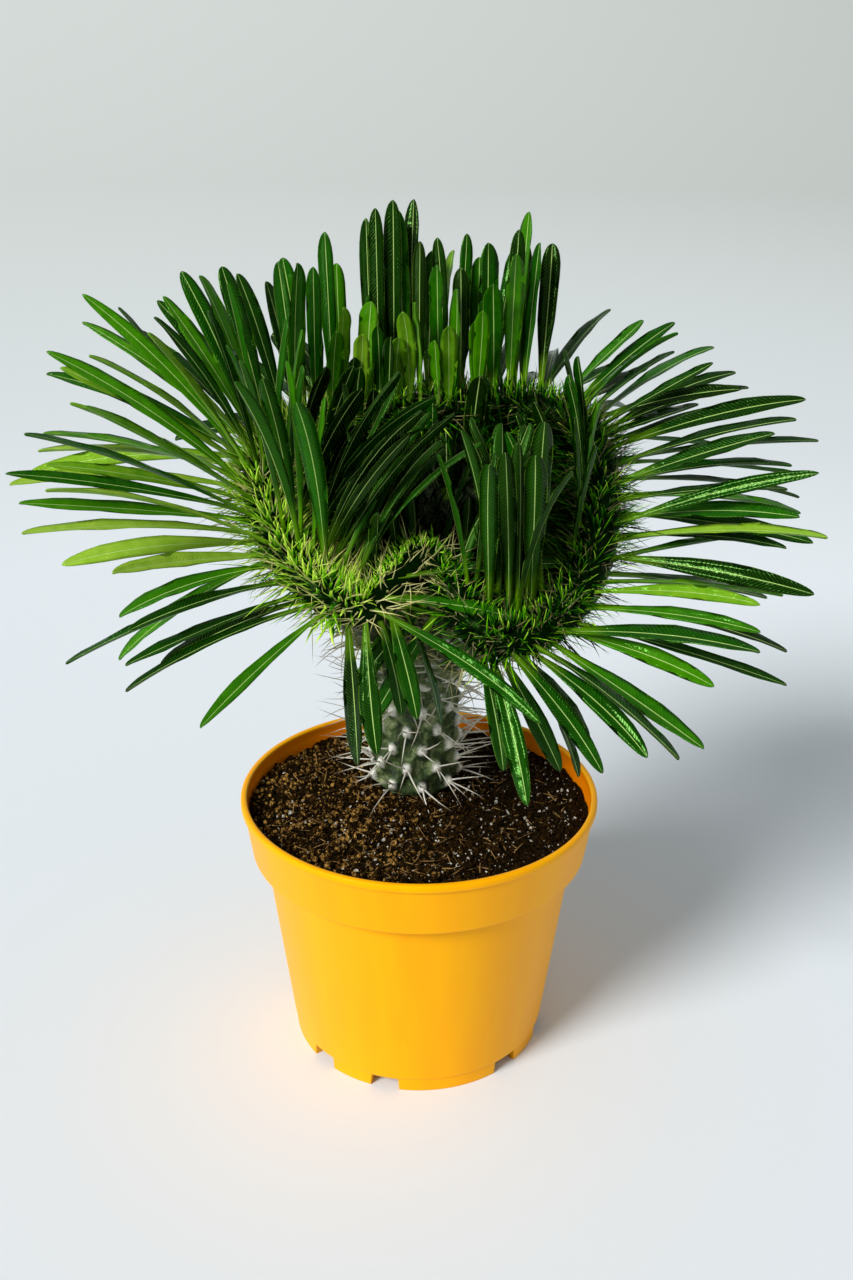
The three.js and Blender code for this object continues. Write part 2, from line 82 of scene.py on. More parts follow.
def ripple(points, wavelength, seed):
    # twelve plane waves of random directions and phases, added up: about -1 to 1, like soft noise
    draw = np.random.default_rng(seed)
    directions = unit(draw.normal(size=(12, 3))) * draw.uniform(0.7, 1.5, (12, 1))
    phases = draw.uniform(0, fullTurn, 12)
    return np.sin(points @ (directions.T * fullTurn / wavelength) + phases).sum(-1) / 4


def ripples(points, layers):
    # ripples of several widths, each with its height and seed, added up
    return sum(height * ripple(points, width, seed) for width, height, seed in layers)


def gridFaces(rows, columns, loopRows=False):
    # quads (i, j), (i, j+1), (i+1, j+1), (i+1, j); the last column joins the first
    i = np.arange(rows if loopRows else rows - 1)[:, None]
    j = np.arange(columns)[None, :]
    below, above = i * columns, ((i + 1) % rows) * columns
    corners = [below + j, below + (j + 1) % columns, above + (j + 1) % columns, above + j]
    return np.stack(corners, -1).reshape(-1, 4)


def closedSkins(sections, firstPoles, lastPoles):
    # many closed skins at once: sections[n, s, k] are rings along each skin, anticlockwise
    # about its way; each end is a fan of triangles to its pole
    count, stations, around = sections.shape[:3]
    poles = np.stack([firstPoles, lastPoles], 1)
    points = np.concatenate([sections.reshape(count, -1, 3), poles], 1)
    k = np.arange(around)
    after = (k + 1) % around
    first = np.full(around, stations * around)
    lastRing = (stations - 1) * around
    caps = np.concatenate([np.stack([first, after, k], -1),
                           np.stack([first + 1, lastRing + k, lastRing + after], -1)])
    start = (np.arange(count) * points.shape[1])[:, None, None]
    quads = (gridFaces(stations, around)[None] + start).reshape(-1, 4)
    triangles = (caps[None] + start).reshape(-1, 3)
    return points.reshape(-1, 3), quads, triangles


def perVertex(values, stations, around):
    # one value for each skin, or for each of its stations, spread over its rings and poles
    values = np.asarray(values, float)
    if values.ndim == 1:
        values = np.repeat(values[:, None], stations, 1)
    rings = np.repeat(values, around, 1)
    return np.concatenate([rings, values[:, :1], values[:, -1:]], 1).ravel()


def makePiece(name, node, material, points, quads, triangles=None, uv=None, shade=True,
              **attributes):
    # one mesh object at the origin, that rides on the body and stands for its CAD node
    triangles = np.zeros((0, 3), int) if triangles is None else triangles
    corners = np.concatenate([quads.ravel(), triangles.ravel()]).astype(np.int32)
    sizes = np.concatenate([np.full(len(quads), 4), np.full(len(triangles), 3)])
    mesh = bpy.data.meshes.new(name)
    mesh.vertices.add(len(points))
    mesh.vertices.foreach_set("co", (points * millimetre).astype(np.float32).ravel())
    mesh.loops.add(len(corners))
    mesh.loops.foreach_set("vertex_index", corners)
    mesh.polygons.add(len(sizes))
    mesh.polygons.foreach_set("loop_start", (np.cumsum(sizes) - sizes).astype(np.int32))
    mesh.polygons.foreach_set("use_smooth", np.full(len(sizes), shade))
    mesh.update(calc_edges=True)
    if uv is not None:
        layer = mesh.uv_layers.new(name="surfaceMap")
        layer.uv.foreach_set("vector", uv[corners].astype(np.float32).ravel())
    for label, values in attributes.items():
        layer = mesh.attributes.new(label, "FLOAT", "POINT")
        layer.data.foreach_set("value", np.asarray(values, np.float32).ravel())
    mesh.validate()
    piece = addObject(name, mesh)
    mesh.materials.append(material)
    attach(piece, "root")
    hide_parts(node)
    return piece


def addObject(name, data):
    # an object in the scene, at the origin
    made = bpy.data.objects.new(name, data)
    bpy.context.scene.collection.objects.link(made)
    return made


def makeStrands(name, node, material, form, roots, ways, lengths, radii, bends, **values):
    # strands that leave their root along a way and bend by b t^2: the middle line is
    # root + L (t way + t^2 b), the radius is r times the taper at t, and `flat` squashes it;
    # `along` is t, and every other value is one for each strand
    shares, sides = form["shares"], form["sides"]
    t = np.array(shares)
    along = ways[:, None] * t[None, :, None] + bends[:, None] * (t ** 2)[None, :, None]
    middle = roots[:, None] + lengths[:, None, None] * along
    forward = unit(ways[:, None] + 2 * bends[:, None] * t[None, :, None])
    helper = np.where(np.abs(ways[:, 2:]) < 0.9, [[0.0, 0, 1]], [[1.0, 0, 0]])[:, None]
    side = unit(np.cross(forward, np.broadcast_to(helper, forward.shape)))
    face = np.cross(side, forward)
    angle = np.arange(sides) / sides * fullTurn
    radius = radii[:, None] * np.array(form["taper"])[None, :]
    # face, then side: anticlockwise about the strand's way
    rings = (middle[:, :, None]
             + (radius[..., None] * np.cos(angle))[..., None] * side[:, :, None]
             - form["flat"] * (radius[..., None] * np.sin(angle))[..., None] * face[:, :, None])
    tips = roots + lengths[:, None] * (ways * 1.04 + bends * 1.08)
    skins = closedSkins(rings, middle[:, 0], tips)
    values = {"along": np.broadcast_to(t, (len(roots), len(t)))} | values
    makePiece(name, node, material, *skins,
              **{label: perVertex(v, len(shares), sides) for label, v in values.items()})


def setInputs(node, inputs):
    # each input takes a link from a socket, a hex colour, a number or a vector
    for label, value in inputs.items():
        socket = node.inputs[label]
        if isinstance(value, bpy.types.NodeSocket):
            node.id_data.links.new(value, socket)
        else:
            socket.default_value = toLinear(value) if isinstance(value, str) else value


def addNode(tree, kind, inputs=None, stops=None, **settings):
    # one shader node, and its outputs: settings are its own properties, stops are a ramp's
    # two ends and then what lies between them
    node = tree.nodes.new("ShaderNode" + kind)
    for label, value in settings.items():
        setattr(node, label, value)
    setInputs(node, inputs or {})
    for i, (place, colour) in enumerate(stops or []):
        elements = node.color_ramp.elements
        element = elements[i] if i < 2 else elements.new(place)
        element.position, element.color = place, toLinear(colour)
    return node.outputs


def newMaterial(name):
    # a material, its shader, and addNode for its tree
    material = bpy.data.materials.new(name)
    material.use_nodes = True
    tree = material.node_tree
    return material, tree.nodes["Principled BSDF"], functools.partial(addNode, tree)


# the pot: one lathed and footed moulding
pot = {
    "height": 168,
    "rimRadius": 110,
    "lipHeight": 5,
    "lipProud": 1.6,
    "collarFootZ": 132,
    "collarFootRadius": 104,
    "bodyTopRadius": 96.5,
    "bodyFootRadius": 81.5,
    "bodyFootZ": 8.2,
    "footRadius": 80.5,
    "footWidth": 5,
    "wall": 2,
    "floor": 2.6,
    "feet": [(-75.5, 45), (-30.5, 20)],   # middle and span in degrees, repeated every quarter turn
    "drainCount": 8,
    "drainRadius": 4.5,
    "drainPitch": 62,
    "drainSides": 32,
    "drainRodHeight": 20,                 # of the rods that cut them, well over the floor
    "segments": 288,
    "colour": "#FFB200",
    "shade": "#FDAA00",
    # painted glow: the inside's deeper orange stands for light that comes through the wall
    "paintedInsideGlow": "#FF8A00",
    "shine": "#FFC35A",
}


def roundedOutline(corners, steps=5):
    # each corner (r, z, size) becomes a quadratic curve that starts and ends `size` from it
    places = np.array([corner[:2] for corner in corners], float)
    sizes = [corner[2] for corner in corners[1:]]
    outline = [places[0]]
    t = np.linspace(0, 1, steps)[:, None]
    for before, corner, after, size in zip(places, places[1:], places[2:], sizes):
        start, end = (corner + unit(way) * min(size, 0.45 * np.linalg.norm(way))
                      for way in (before - corner, after - corner))
        outline.extend((1 - t) ** 2 * start + 2 * t * (1 - t) * corner + t * t * end)
    return np.array(outline + [places[-1]])


def potOutline():
    # from the axis underneath, outwards, up, over the lip and down inside to the axis
    wall, under, lipFootZ = pot["wall"], pot["bodyFootZ"], pot["height"] - pot["lipHeight"]
    collarTop = pot["rimRadius"] - pot["lipProud"]
    footInner = pot["footRadius"] - pot["footWidth"]
    return roundedOutline([
        (1, under, 0),
        (footInner - 0.3, under, 0.4),
        (footInner + 0.2, -1, 0.6),             # a height of -1 marks a foot's sole
        (pot["footRadius"] - 0.2, -1, 0.6),
        (pot["footRadius"], under + 0.4, 0.3),
        (pot["bodyFootRadius"], under + 1.2, 1.6),
        (pot["bodyTopRadius"], pot["collarFootZ"] - 0.4, 1.2),
        (pot["collarFootRadius"], pot["collarFootZ"], 1.6),
        (collarTop, lipFootZ - 0.2, 0.5),
        (pot["rimRadius"], lipFootZ + 0.2, 1.4),
        (pot["rimRadius"], pot["height"], 2.2),
        (pot["rimRadius"] - 4, pot["height"], 1.6),
        (collarTop - wall - 0.2, lipFootZ - 0.5, 1.2),
        (pot["collarFootRadius"] - wall, pot["collarFootZ"] + wall, 1.2),
        (pot["bodyTopRadius"] - wall, pot["collarFootZ"] + wall - 0.6, 1.2),
        (pot["bodyFootRadius"] - wall, under + pot["floor"], 2.5),
        (1, under + pot["floor"], 0),
    ])


def makePot():
    # radius and height follow the outline; where a foot stands, its stretch of the outline
    # drops from the floor's underside to the ground
    under, segments = pot["bodyFootZ"], pot["segments"]
    outline = potOutline()
    feet = [(middle + 90 * q, span) for q in range(4) for middle, span in pot["feet"]]
    edges = [middle + end * span / 2 + step
             for middle, span in feet for end in (-1, 1) for step in (-0.25, 0.25)]
    degrees = np.unique(np.round(np.concatenate([np.arange(segments) * 360 / segments,
                                                 np.array(edges) % 360]), 3))
    inFoot = np.zeros(len(degrees), bool)
    for middle, span in feet:
        inFoot |= np.abs((degrees - middle + 180) % 360 - 180) < span / 2
    radius, height = outline[:, :1], outline[:, 1:]
    lowered = (height + 1) / (under + 1) * under         # from -1..under to 0..under
    height = np.where(height < under - 0.01, np.where(inFoot[None, :], lowered, under), height)
    rings = polar(radius, np.radians(degrees)[None, :], height)
    points, quads, triangles = closedSkins(rings[None], np.array([[0, 0, under]]),
                                           np.array([[0, 0, under + pot["floor"]]]))
    lipTop = np.argmax(outline[:, 1] + 0.01 * outline[:, 0])
    inside = perVertex(np.arange(len(outline))[None] > lipTop + 4, len(outline), len(degrees))
    return makePiece("nurseryPot", "pot", polypropylene, points, quads, triangles, inside=inside)


def cutDrains(piece):
    # upright rods, evenly spaced round the axis, are taken out of the floor
    turn = np.arange(pot["drainSides"]) / pot["drainSides"] * fullTurn
    at = (np.arange(pot["drainCount"])[:, None, None] + 0.5) / pot["drainCount"] * fullTurn
    ends = np.array([[0.0], [pot["drainRodHeight"]]])
    rods = polar(pot["drainRadius"], turn, ends, pot["drainPitch"] * np.cos(at),
                 pot["drainPitch"] * np.sin(at))
    points, quads, triangles = closedSkins(rods, rods[:, 0].mean(1), rods[:, -1].mean(1))
    cutterMesh = bpy.data.meshes.new("drainRods")
    cutterMesh.from_pydata(points * millimetre, [], quads.tolist() + triangles.tolist())
    cutter = addObject("drainRods", cutterMesh)
    cut = piece.modifiers.new("drains", "BOOLEAN")
    cut.operation, cut.solver, cut.object = "DIFFERENCE", "EXACT", cutter
    bpy.context.view_layer.update()
    finished = piece.evaluated_get(bpy.context.evaluated_depsgraph_get())
    finished = bpy.data.meshes.new_from_object(finished)
    piece.modifiers.clear()
    piece.data = finished
    bpy.data.objects.remove(cutter)


def mouldedPolypropylene():
    # injection-moulded polypropylene: satin gloss, colour even, faint orange peel and flow marks;
    # a deeper orange painted inside: painted glow of the light that comes through the thin wall
    material, surface, add = newMaterial("mouldedPolypropylene")
    place = add("TexCoord")["Object"]
    peel = add("TexNoise", {"Vector": place, "Scale": 700, "Detail": 2})["Fac"]      # 1.4 mm
    flow = add("Mapping", {"Vector": place, "Scale": (60, 60, 8)})[0]
    streaks = add("TexNoise", {"Vector": flow, "Scale": 1, "Detail": 3})["Fac"]
    colour = add("ValToRGB", {"Fac": streaks}, [(0.3, pot["shade"]), (0.7, pot["colour"])])[0]
    inside = add("Attribute", attribute_name="inside")["Fac"]
    # the inside takes the painted glow colour
    lit = add("Mix", {0: inside, 6: colour, 7: pot["paintedInsideGlow"]}, data_type="RGBA")[2]
    setInputs(surface, {
        "Base Color": lit,
        "Roughness": add("MapRange", {"Value": streaks, "To Min": 0.36, "To Max": 0.5})[0],
        "Normal": add("Bump", {"Height": peel, "Strength": 0.06, "Distance": 0.0004})[0],
        "IOR": 1.49,
        "Specular IOR Level": 0.3,
        "Specular Tint": pot["shine"],
    })
    return material


polypropylene = mouldedPolypropylene()
cutDrains(makePot())
print("pot made")


# the potting soil: a bed with crumbs, perlite and fibres on it, calm round the stem
soil = {
    "surfaceZ": 157,
    "relief": 1.3,
    "clods": ((10, 1.0, 5), (5, 0.8, 6)),         # width, height and seed
    "slope": (-0.012, -0.008),                    # a little higher at the left and the front
    "calmRadius": 34,
    "topRadius": 104.2,
    "rings": 130,
    "segments": 360,
    "crumbs": 9200,
    "crumbSize": (0.45, 2.0),
    "paintedShadeRight": 0.72,                              # how much darker the crumbs are at the right: painted shade
    "perlite": 1000,
    "perliteSize": (0.3, 1.3),
    "perliteSide": (0.8, -0.6),                   # most of it lies at the right and the front
    "lumpStretch": (0.4, 1.35),
    "lumpUneven": (-0.35, 0.3),
    "fibres": 420,
    "fibreLength": (3, 11),
    "fibreRadius": (0.15, 0.4),
    "seed": 31,
    "shine": "#D8B078",
}
fibreForm = {"sides": 4, "shares": (0, 0.35, 0.7, 1), "taper": (0.8, 1, 1, 0.6), "flat": 1}
stem = {
    "x": -3,
    "y": 30,
    "buriedZ": 116,
    "buriedRadius": 22.5,
    "soilLineZ": 158.8,
    "trunkTopZ": 226,
    "radius": 24,
    "tubercleHeight": 4.5,
    "tubercleRows": 5,
    "tuberclesRound": 9,
    "weltHeight": 0.9,
    "lean": -6,
    "wallRibHeight": 3.2,
    "wallHeight": 112,
    "wallRibs": 27,
    "columns": 378,
    "rows": {"trunk": 84, "wall": 81, "ridge": 15, "hollow": 33},
    "rough": ((7, 0.45, 11), (3, 0.22, 12)),      # width, height and seed, as for the clods
    "skin": [(0.36, "#141F06"), (0.66, "#94A070"), (0.5, "#3C5220")],
    "upperSkin": "#2C3A12",
    "felt": "#F2F0E4",
}


def soilHeight(x, y):
    # slow sine waves and a slope, both of which die away round the stem, plus clods
    calm = np.clip((np.hypot(x - stem["x"], y - stem["y"]) - soil["calmRadius"]) / 20, 0, 1)
    wave = np.sin(x / 9 + 1) * np.cos(y / 11) + 0.6 * np.sin(y / 5 - x / 7)
    fine = ripples(np.stack([x, y, 0 * x], -1), soil["clods"])
    slope = soil["slope"][0] * x + soil["slope"][1] * y
    return soil["surfaceZ"] + soil["relief"] * calm * wave + fine + slope * calm


def makeSoil():
    # radius grows along the rows; past the surface's edge the rows go down the side and back
    gap = pot["wall"] + 0.3
    share = np.linspace(0.004, 1, soil["rings"])
    aboveCollar = pot["collarFootZ"] + pot["wall"] + 0.6
    side = np.array([
        (pot["bodyFootRadius"] - gap - 0.4, pot["bodyFootZ"] + pot["floor"] + 0.3),
        (pot["bodyTopRadius"] - gap - 0.8, pot["collarFootZ"] - 0.5),
        (pot["bodyTopRadius"] - gap - 0.6, aboveCollar),
        (pot["collarFootRadius"] - gap - 0.9, aboveCollar),
        (soil["topRadius"], soil["surfaceZ"] - 3),
    ])
    turn = np.arange(soil["segments"]) / soil["segments"] * fullTurn
    rings = polar(np.concatenate([side[:, 0], soil["topRadius"] * share[::-1]])[:, None], turn, 0.0)
    rings[..., 2] = soilHeight(rings[..., 0], rings[..., 1])
    rings[:len(side), :, 2] = side[:, 1:]
    floorMiddle = np.array([[0, 0, side[0, 1]]])
    makePiece("soilBed", "potting_soil", peatMix,
              *closedSkins(rings[None], floorMiddle, rings[-1].mean(0)[None]))


def overDisc(draw, count, reach):
    # x and y of places spread evenly over a disc
    radius = reach * np.sqrt(draw.uniform(0, 1, count))
    turn = draw.uniform(0, fullTurn, count)
    return radius * np.cos(turn), radius * np.sin(turn)


golden = (1 + 5 ** 0.5) / 2
lumpCorners = unit(np.array([
    (-1, golden, 0), (1, golden, 0), (-1, -golden, 0), (1, -golden, 0),
    (0, -1, golden), (0, 1, golden), (0, -1, -golden), (0, 1, -golden),
    (golden, 0, -1), (golden, 0, 1), (-golden, 0, -1), (-golden, 0, 1)], float))
lumpFaces = np.array([
    (0, 11, 5), (0, 5, 1), (0, 1, 7), (0, 7, 10), (0, 10, 11), (1, 5, 9), (5, 11, 4),
    (11, 10, 2), (10, 7, 6), (7, 1, 8), (3, 9, 4), (3, 4, 2), (3, 2, 6), (3, 6, 8),
    (3, 8, 9), (4, 9, 5), (2, 4, 11), (6, 2, 10), (8, 6, 7), (9, 8, 1)])


def makeLumps(name, material, count, sizes, draw, towards=None, paintedShadeRight=0):
    # icosahedra of 20 faces, each stretched and turned at random and half sunk in the surface;
    # `towards` thins them away from that side, and the last argument paints shade at the right
    x, y = overDisc(draw, count * 4, soil["topRadius"] - 1.5)
    keep = np.hypot(x - stem["x"], y - stem["y"]) > stem["radius"] + 2
    if towards is not None:
        share = smooth(-80, 60, x * towards[0] + y * towards[1]) + 0.12
        keep &= draw.uniform(0, 1, count * 4) < share
    x, y = x[keep][:count], y[keep][:count]
    size = mix(*sizes, draw.uniform(0, 1, len(x)) ** 2.2)
    stretch = draw.uniform(*soil["lumpStretch"], (len(x), 1, 3)) * size[:, None, None]
    axes, _ = np.linalg.qr(draw.normal(size=(len(x), 3, 3)))
    axes *= np.sign(np.linalg.det(axes))[:, None, None]
    uneven = 1 + draw.uniform(*soil["lumpUneven"], (len(x), len(lumpCorners), 1))
    points = (lumpCorners[None] * uneven * stretch) @ axes
    points += np.stack([x, y, soilHeight(x, y) + 0.25 * size], -1)[:, None]
    starts = (np.arange(len(x)) * len(lumpCorners))[:, None, None]
    # a random tone for each crumb, lowered at the right as painted shade
    tint = draw.uniform(0, 1, len(x)) * (1 - paintedShadeRight * smooth(-30, 60, points[:, 0, 0]))
    makePiece(name, "potting_soil", material, points.reshape(-1, 3), np.zeros((0, 4), int),
              (lumpFaces[None] + starts).reshape(-1, 3), shade=False,
              tint=np.repeat(tint, len(lumpCorners)))


def makeFibres(draw):
    # short straws that lie on the surface, slightly bent
    count = soil["fibres"]
    x, y = overDisc(draw, count, soil["topRadius"] - 14)
    compass = draw.uniform(0, fullTurn, count)
    ways = unit(polar(1, compass, draw.uniform(-0.05, 0.3, count)))
    bends = draw.normal(size=(count, 3)) * 0.12
    makeStrands("soilFibres", "potting_soil", drySprigs, fibreForm,
                np.stack([x, y, soilHeight(x, y) + 0.5], -1), ways,
                draw.uniform(*soil["fibreLength"], count),
                draw.uniform(*soil["fibreRadius"], count), bends,
                tint=draw.uniform(0, 1, count))


def peatAndPerlite(name, stops, roughness, grain):
    # loose peat or expanded perlite: rough and matt, each grain a little different in colour
    material, surface, add = newMaterial(name)
    place = add("TexCoord")["Object"]
    fine = add("TexNoise", {"Vector": place, "Scale": grain, "Detail": 5, "Roughness": 0.7})["Fac"]
    bits = add("TexVoronoi", {"Vector": place, "Scale": grain * 0.8, "Randomness": 1.0})
    shown = add("SeparateXYZ", {0: bits["Color"]})["X"]
    spread = add("Math", {0: shown, 1: 0.5, 2: fine}, operation="MULTIPLY_ADD")[0]
    tint = add("Attribute", attribute_name="tint")["Fac"]
    both = add("Math", {0: tint, 1: spread}, operation="ADD")[0]
    shade = add("Math", {0: both, 1: 0.42}, operation="MULTIPLY")[0]
    lumpy = add("Math", {0: bits["Distance"], 1: -1.5, 2: fine}, operation="MULTIPLY_ADD")[0]
    setInputs(surface, {
        "Base Color": add("ValToRGB", {"Fac": shade}, stops)[0],
        "Normal": add("Bump", {"Height": lumpy, "Strength": 1.0, "Distance": 0.0012})[0],
        "Roughness": roughness,
        "Specular IOR Level": 0.25,
        "Specular Tint": soil["shine"],
    })
    return material


soilDraw = np.random.default_rng(soil["seed"])
peatMix = peatAndPerlite("moistPeat", [(0.32, "#070401"), (0.82, "#CC9C50"), (0.56, "#3C260A")],
                         0.95, 900)
perliteWhite = peatAndPerlite("expandedPerlite", [(0.2, "#BFB49C"), (0.8, "#FFFAEC")], 0.9, 1500)
drySprigs = peatAndPerlite("dryPeatFibre", [(0.2, "#4A331A"), (0.8, "#BC9458")], 0.85, 600)
makeSoil()
makeLumps("soilCrumbs", peatMix, soil["crumbs"], soil["crumbSize"], soilDraw,
          paintedShadeRight=soil["paintedShadeRight"])
makeLumps("perliteGrains", perliteWhite, soil["perlite"], soil["perliteSize"], soilDraw,
          towards=soil["perliteSide"])
makeFibres(soilDraw)
print("soil made")


# the crest line: the closed, lobed ridge that everything green grows on
crestLine = np.array([
    (103, 26, 355), (92, 60, 379), (62, 80, 385), (14, 86, 383), (-36, 84, 379), (-74, 62, 373),
    (-90, 26, 361), (-82, -8, 339), (-62, -37, 318), (-32, -47, 305), (2, -19, 322), (36, -50, 292),
    (68, -48, 294), (94, -20, 321),
], float)
crest = {
    "halfWidth": 13,
    "capThickness": 3.5,
    "capGap": 0.45,
    "capFrom": -20,
    "capTo": 200,
    "valley": (2, 44, 298),
}
coreRadius = crest["halfWidth"] - crest["capThickness"] - crest["capGap"]     # the ridge's wood


def linePoint(share):
    # a closed Catmull-Rom spline through crestLine, with tangents of half the neighbours' step
    place = (np.asarray(share) % 1) * len(crestLine)
    i = np.floor(place).astype(int)
    t = (place - i)[..., None]
    p0, p1, p2, p3 = (crestLine[(i + k) % len(crestLine)] for k in (-1, 0, 1, 2))
    m1, m2 = (p2 - p0) / 2, (p3 - p1) / 2
    return (p1 + m1 * t + (3 * (p2 - p1) - 2 * m1 - m2) * t ** 2
            + (2 * (p1 - p2) + m1 + m2) * t ** 3)


def ridgeAt(place):
    # the ridge's point, its level direction out of the crest, and the direction over it
    share = np.asarray(place, float) / len(crestLine)
    along = unit(linePoint(share + 0.002) - linePoint(share - 0.002))
    out = unit(np.stack([along[..., 1], -along[..., 0], 0 * along[..., 0]], -1))
    return linePoint(share), out, np.cross(out, along)


def overRidge(place, degrees, radius):
    # the point at a radius round the ridge: 0 degrees faces out, 90 up, 180 in
    point, out, rise = ridgeAt(place)
    angle = np.radians(np.asarray(degrees, float))
    radius = np.asarray(radius, float)
    return (point + (radius * np.cos(angle))[..., None] * out
            + (radius * np.sin(angle))[..., None] * rise)


# the stem: trunk with tubercles, ribbed wall, ridge core and the hollow's inside
tuberclePitch = (stem["trunkTopZ"] - stem["soilLineZ"]) / stem["tubercleRows"]


def tubercleRow(z):
    # 0 in the middle of the lowest row, 1 in the middle of the next
    return (z - stem["soilLineZ"]) / tuberclePitch - 0.5


def tubercle(turn, z):
    # a bump at each crossing of nine columns with rows staggered by half a step
    upright = np.cos(stem["tuberclesRound"] * turn)
    return ((1 + upright * np.cos(math.pi * tubercleRow(z))) / 2) ** 2


def welts(turn, z):
    # two families of diagonal lines that cross near the tubercles: cos^8 of half their phase
    wander = 0.3 * np.sin(3 * turn + z / 7) + 0.25 * np.sin(7 * turn - z / 4)
    row = tubercleRow(z) + wander
    leftward = np.cos((stem["tuberclesRound"] * turn + math.pi * row) / 2) ** 8
    rightward = np.cos((stem["tuberclesRound"] * turn - math.pi * row) / 2) ** 8
    return np.maximum(leftward, rightward)


def trunkAxisY(z):
    # the axis leans forward by an even slope above the soil
    risen = (z - stem["soilLineZ"]) / (stem["trunkTopZ"] - stem["soilLineZ"])
    return stem["y"] + stem["lean"] * np.maximum(0, risen)


def trunkPoint(turn, z, extra=0.0):
    # a cylinder that swells with the tubercles, each drawn to a soft point
    bump = tubercle(turn, z)
    above = smooth(stem["soilLineZ"] - 3, stem["soilLineZ"] + 3, z)
    radius = mix(stem["buriedRadius"], stem["radius"], above)
    pointed = stem["tubercleHeight"] * bump + 1.6 * bump ** 5 - 0.8 * (1 - bump) ** 3
    radius = radius + above * (pointed + stem["weltHeight"] * welts(turn, z)) + extra
    return polar(radius, turn, z, stem["x"], trunkAxisY(z))


def wallPoint(column, share):
    # from the trunk's neck the wall leaves upwards and runs out to the ridge's outer foot on a
    # quadratic curve, with tubercles that give way to low ribs; also how felted it is there
    place = column * len(crestLine)
    turn = column * fullTurn
    neck = trunkPoint(turn, stem["trunkTopZ"])
    edge = overRidge(place, crest["capFrom"], coreRadius)
    bend = mix(neck, edge, np.array([0.12, 0.12, 0.5]))
    t = np.asarray(share, float)[..., None]
    point = (1 - t) ** 2 * neck + 2 * t * (1 - t) * bend + t ** 2 * edge
    rib = (1 + np.cos(stem["wallRibs"] * fullTurn * column)) / 2
    stagger = math.pi * np.round(stem["wallRibs"] * column)
    scars = 0.5 + 0.5 * np.cos(fullTurn * share * 9 + stagger)
    lower = 1 - smooth(0.2, 0.62, share)
    bump = tubercle(turn, stem["trunkTopZ"] + share * stem["wallHeight"])
    ribbed = rib * (0.8 + 0.35 * scars) * np.sin(math.pi * share) * (1 - 0.7 * lower)
    bumpy = lower * (bump + 0.3 * bump ** 5 - 0.25) * smooth(0, 0.05, share)
    proud = stem["wallRibHeight"] * ribbed + stem["tubercleHeight"] * bumpy
    felt = np.maximum(0.35 * rib * scars, lower * bump ** 2.4)
    return point + proud[..., None] * ridgeAt(place)[1], felt


def hollowPoint(place, down):
    # inside the ridge the wall runs level towards the valley in step with `down` and sinks with
    # sin(down pi/2); low ribs stand on it
    edge = overRidge(place, crest["capTo"], coreRadius)
    down = np.asarray(down, float)
    dip = np.stack([down, down, np.sin(down * math.pi / 2)], -1)
    point = edge + (np.array(crest["valley"], float) - edge) * dip
    rib = (1 + np.cos(stem["wallRibs"] * fullTurn * place / len(crestLine))) / 2
    proud = stem["wallRibHeight"] * rib * np.sin(math.pi * np.clip(down / 0.9, 0, 1)) * 0.8
    return point - proud[..., None] * ridgeAt(place)[1]


def makeStem():
    # rows follow one another up the trunk, out along the wall, over the ridge and down inside
    column = (np.arange(stem["columns"]) / stem["columns"])[None, :]
    turn, place = column * fullTurn, column * len(crestLine)
    buried = [trunkPoint(turn, stem["buriedZ"], -5.0), trunkPoint(turn, stem["buriedZ"] + 4),
              trunkPoint(turn, stem["soilLineZ"] - 12)]
    rows = stem["rows"]
    z = np.linspace(stem["soilLineZ"] - 6, stem["trunkTopZ"], rows["trunk"])[:, None]
    trunk = trunkPoint(turn, z)
    wall, wallFelt = wallPoint(column, np.linspace(0, 1, rows["wall"] + 1)[1:, None])
    degrees = np.linspace(crest["capFrom"], crest["capTo"], rows["ridge"] + 1)[1:, None]
    over = overRidge(place, degrees, coreRadius)
    inner = hollowPoint(place, np.linspace(0, 0.96, rows["hollow"] + 1)[1:, None])
    rings = np.concatenate([*buried, trunk, wall, over, inner])
    wallFrom, wallTo = 3 + len(trunk), 3 + len(trunk) + len(wall)
    level = np.ones(rings.shape[:2])
    level[:wallTo] = np.concatenate([np.zeros(wallFrom), np.linspace(0, 1, len(wall))])[:, None]
    felt = np.zeros(rings.shape[:2])
    felt[3:wallFrom] = np.maximum(tubercle(turn, z) ** 2.2, 0.2 * welts(turn, z))
    felt[wallFrom:wallTo] = wallFelt
    rough = ripples(rings, stem["rough"])
    outwards = unit((rings - [stem["x"], stem["y"], 0]) * [1, 1, 0])
    rings = rings + outwards * (rough * (1 - felt))[..., None]
    valley = np.array([crest["valley"]], float)
    makePiece("stemBark", "crested_stem", succulentBark,
              *closedSkins(rings[None], rings[:1].mean(1), valley),
              **{label: np.append(values.ravel(), [values[0].mean(), values[-1].mean()])
                 for label, values in (("felt", felt), ("level", level))})


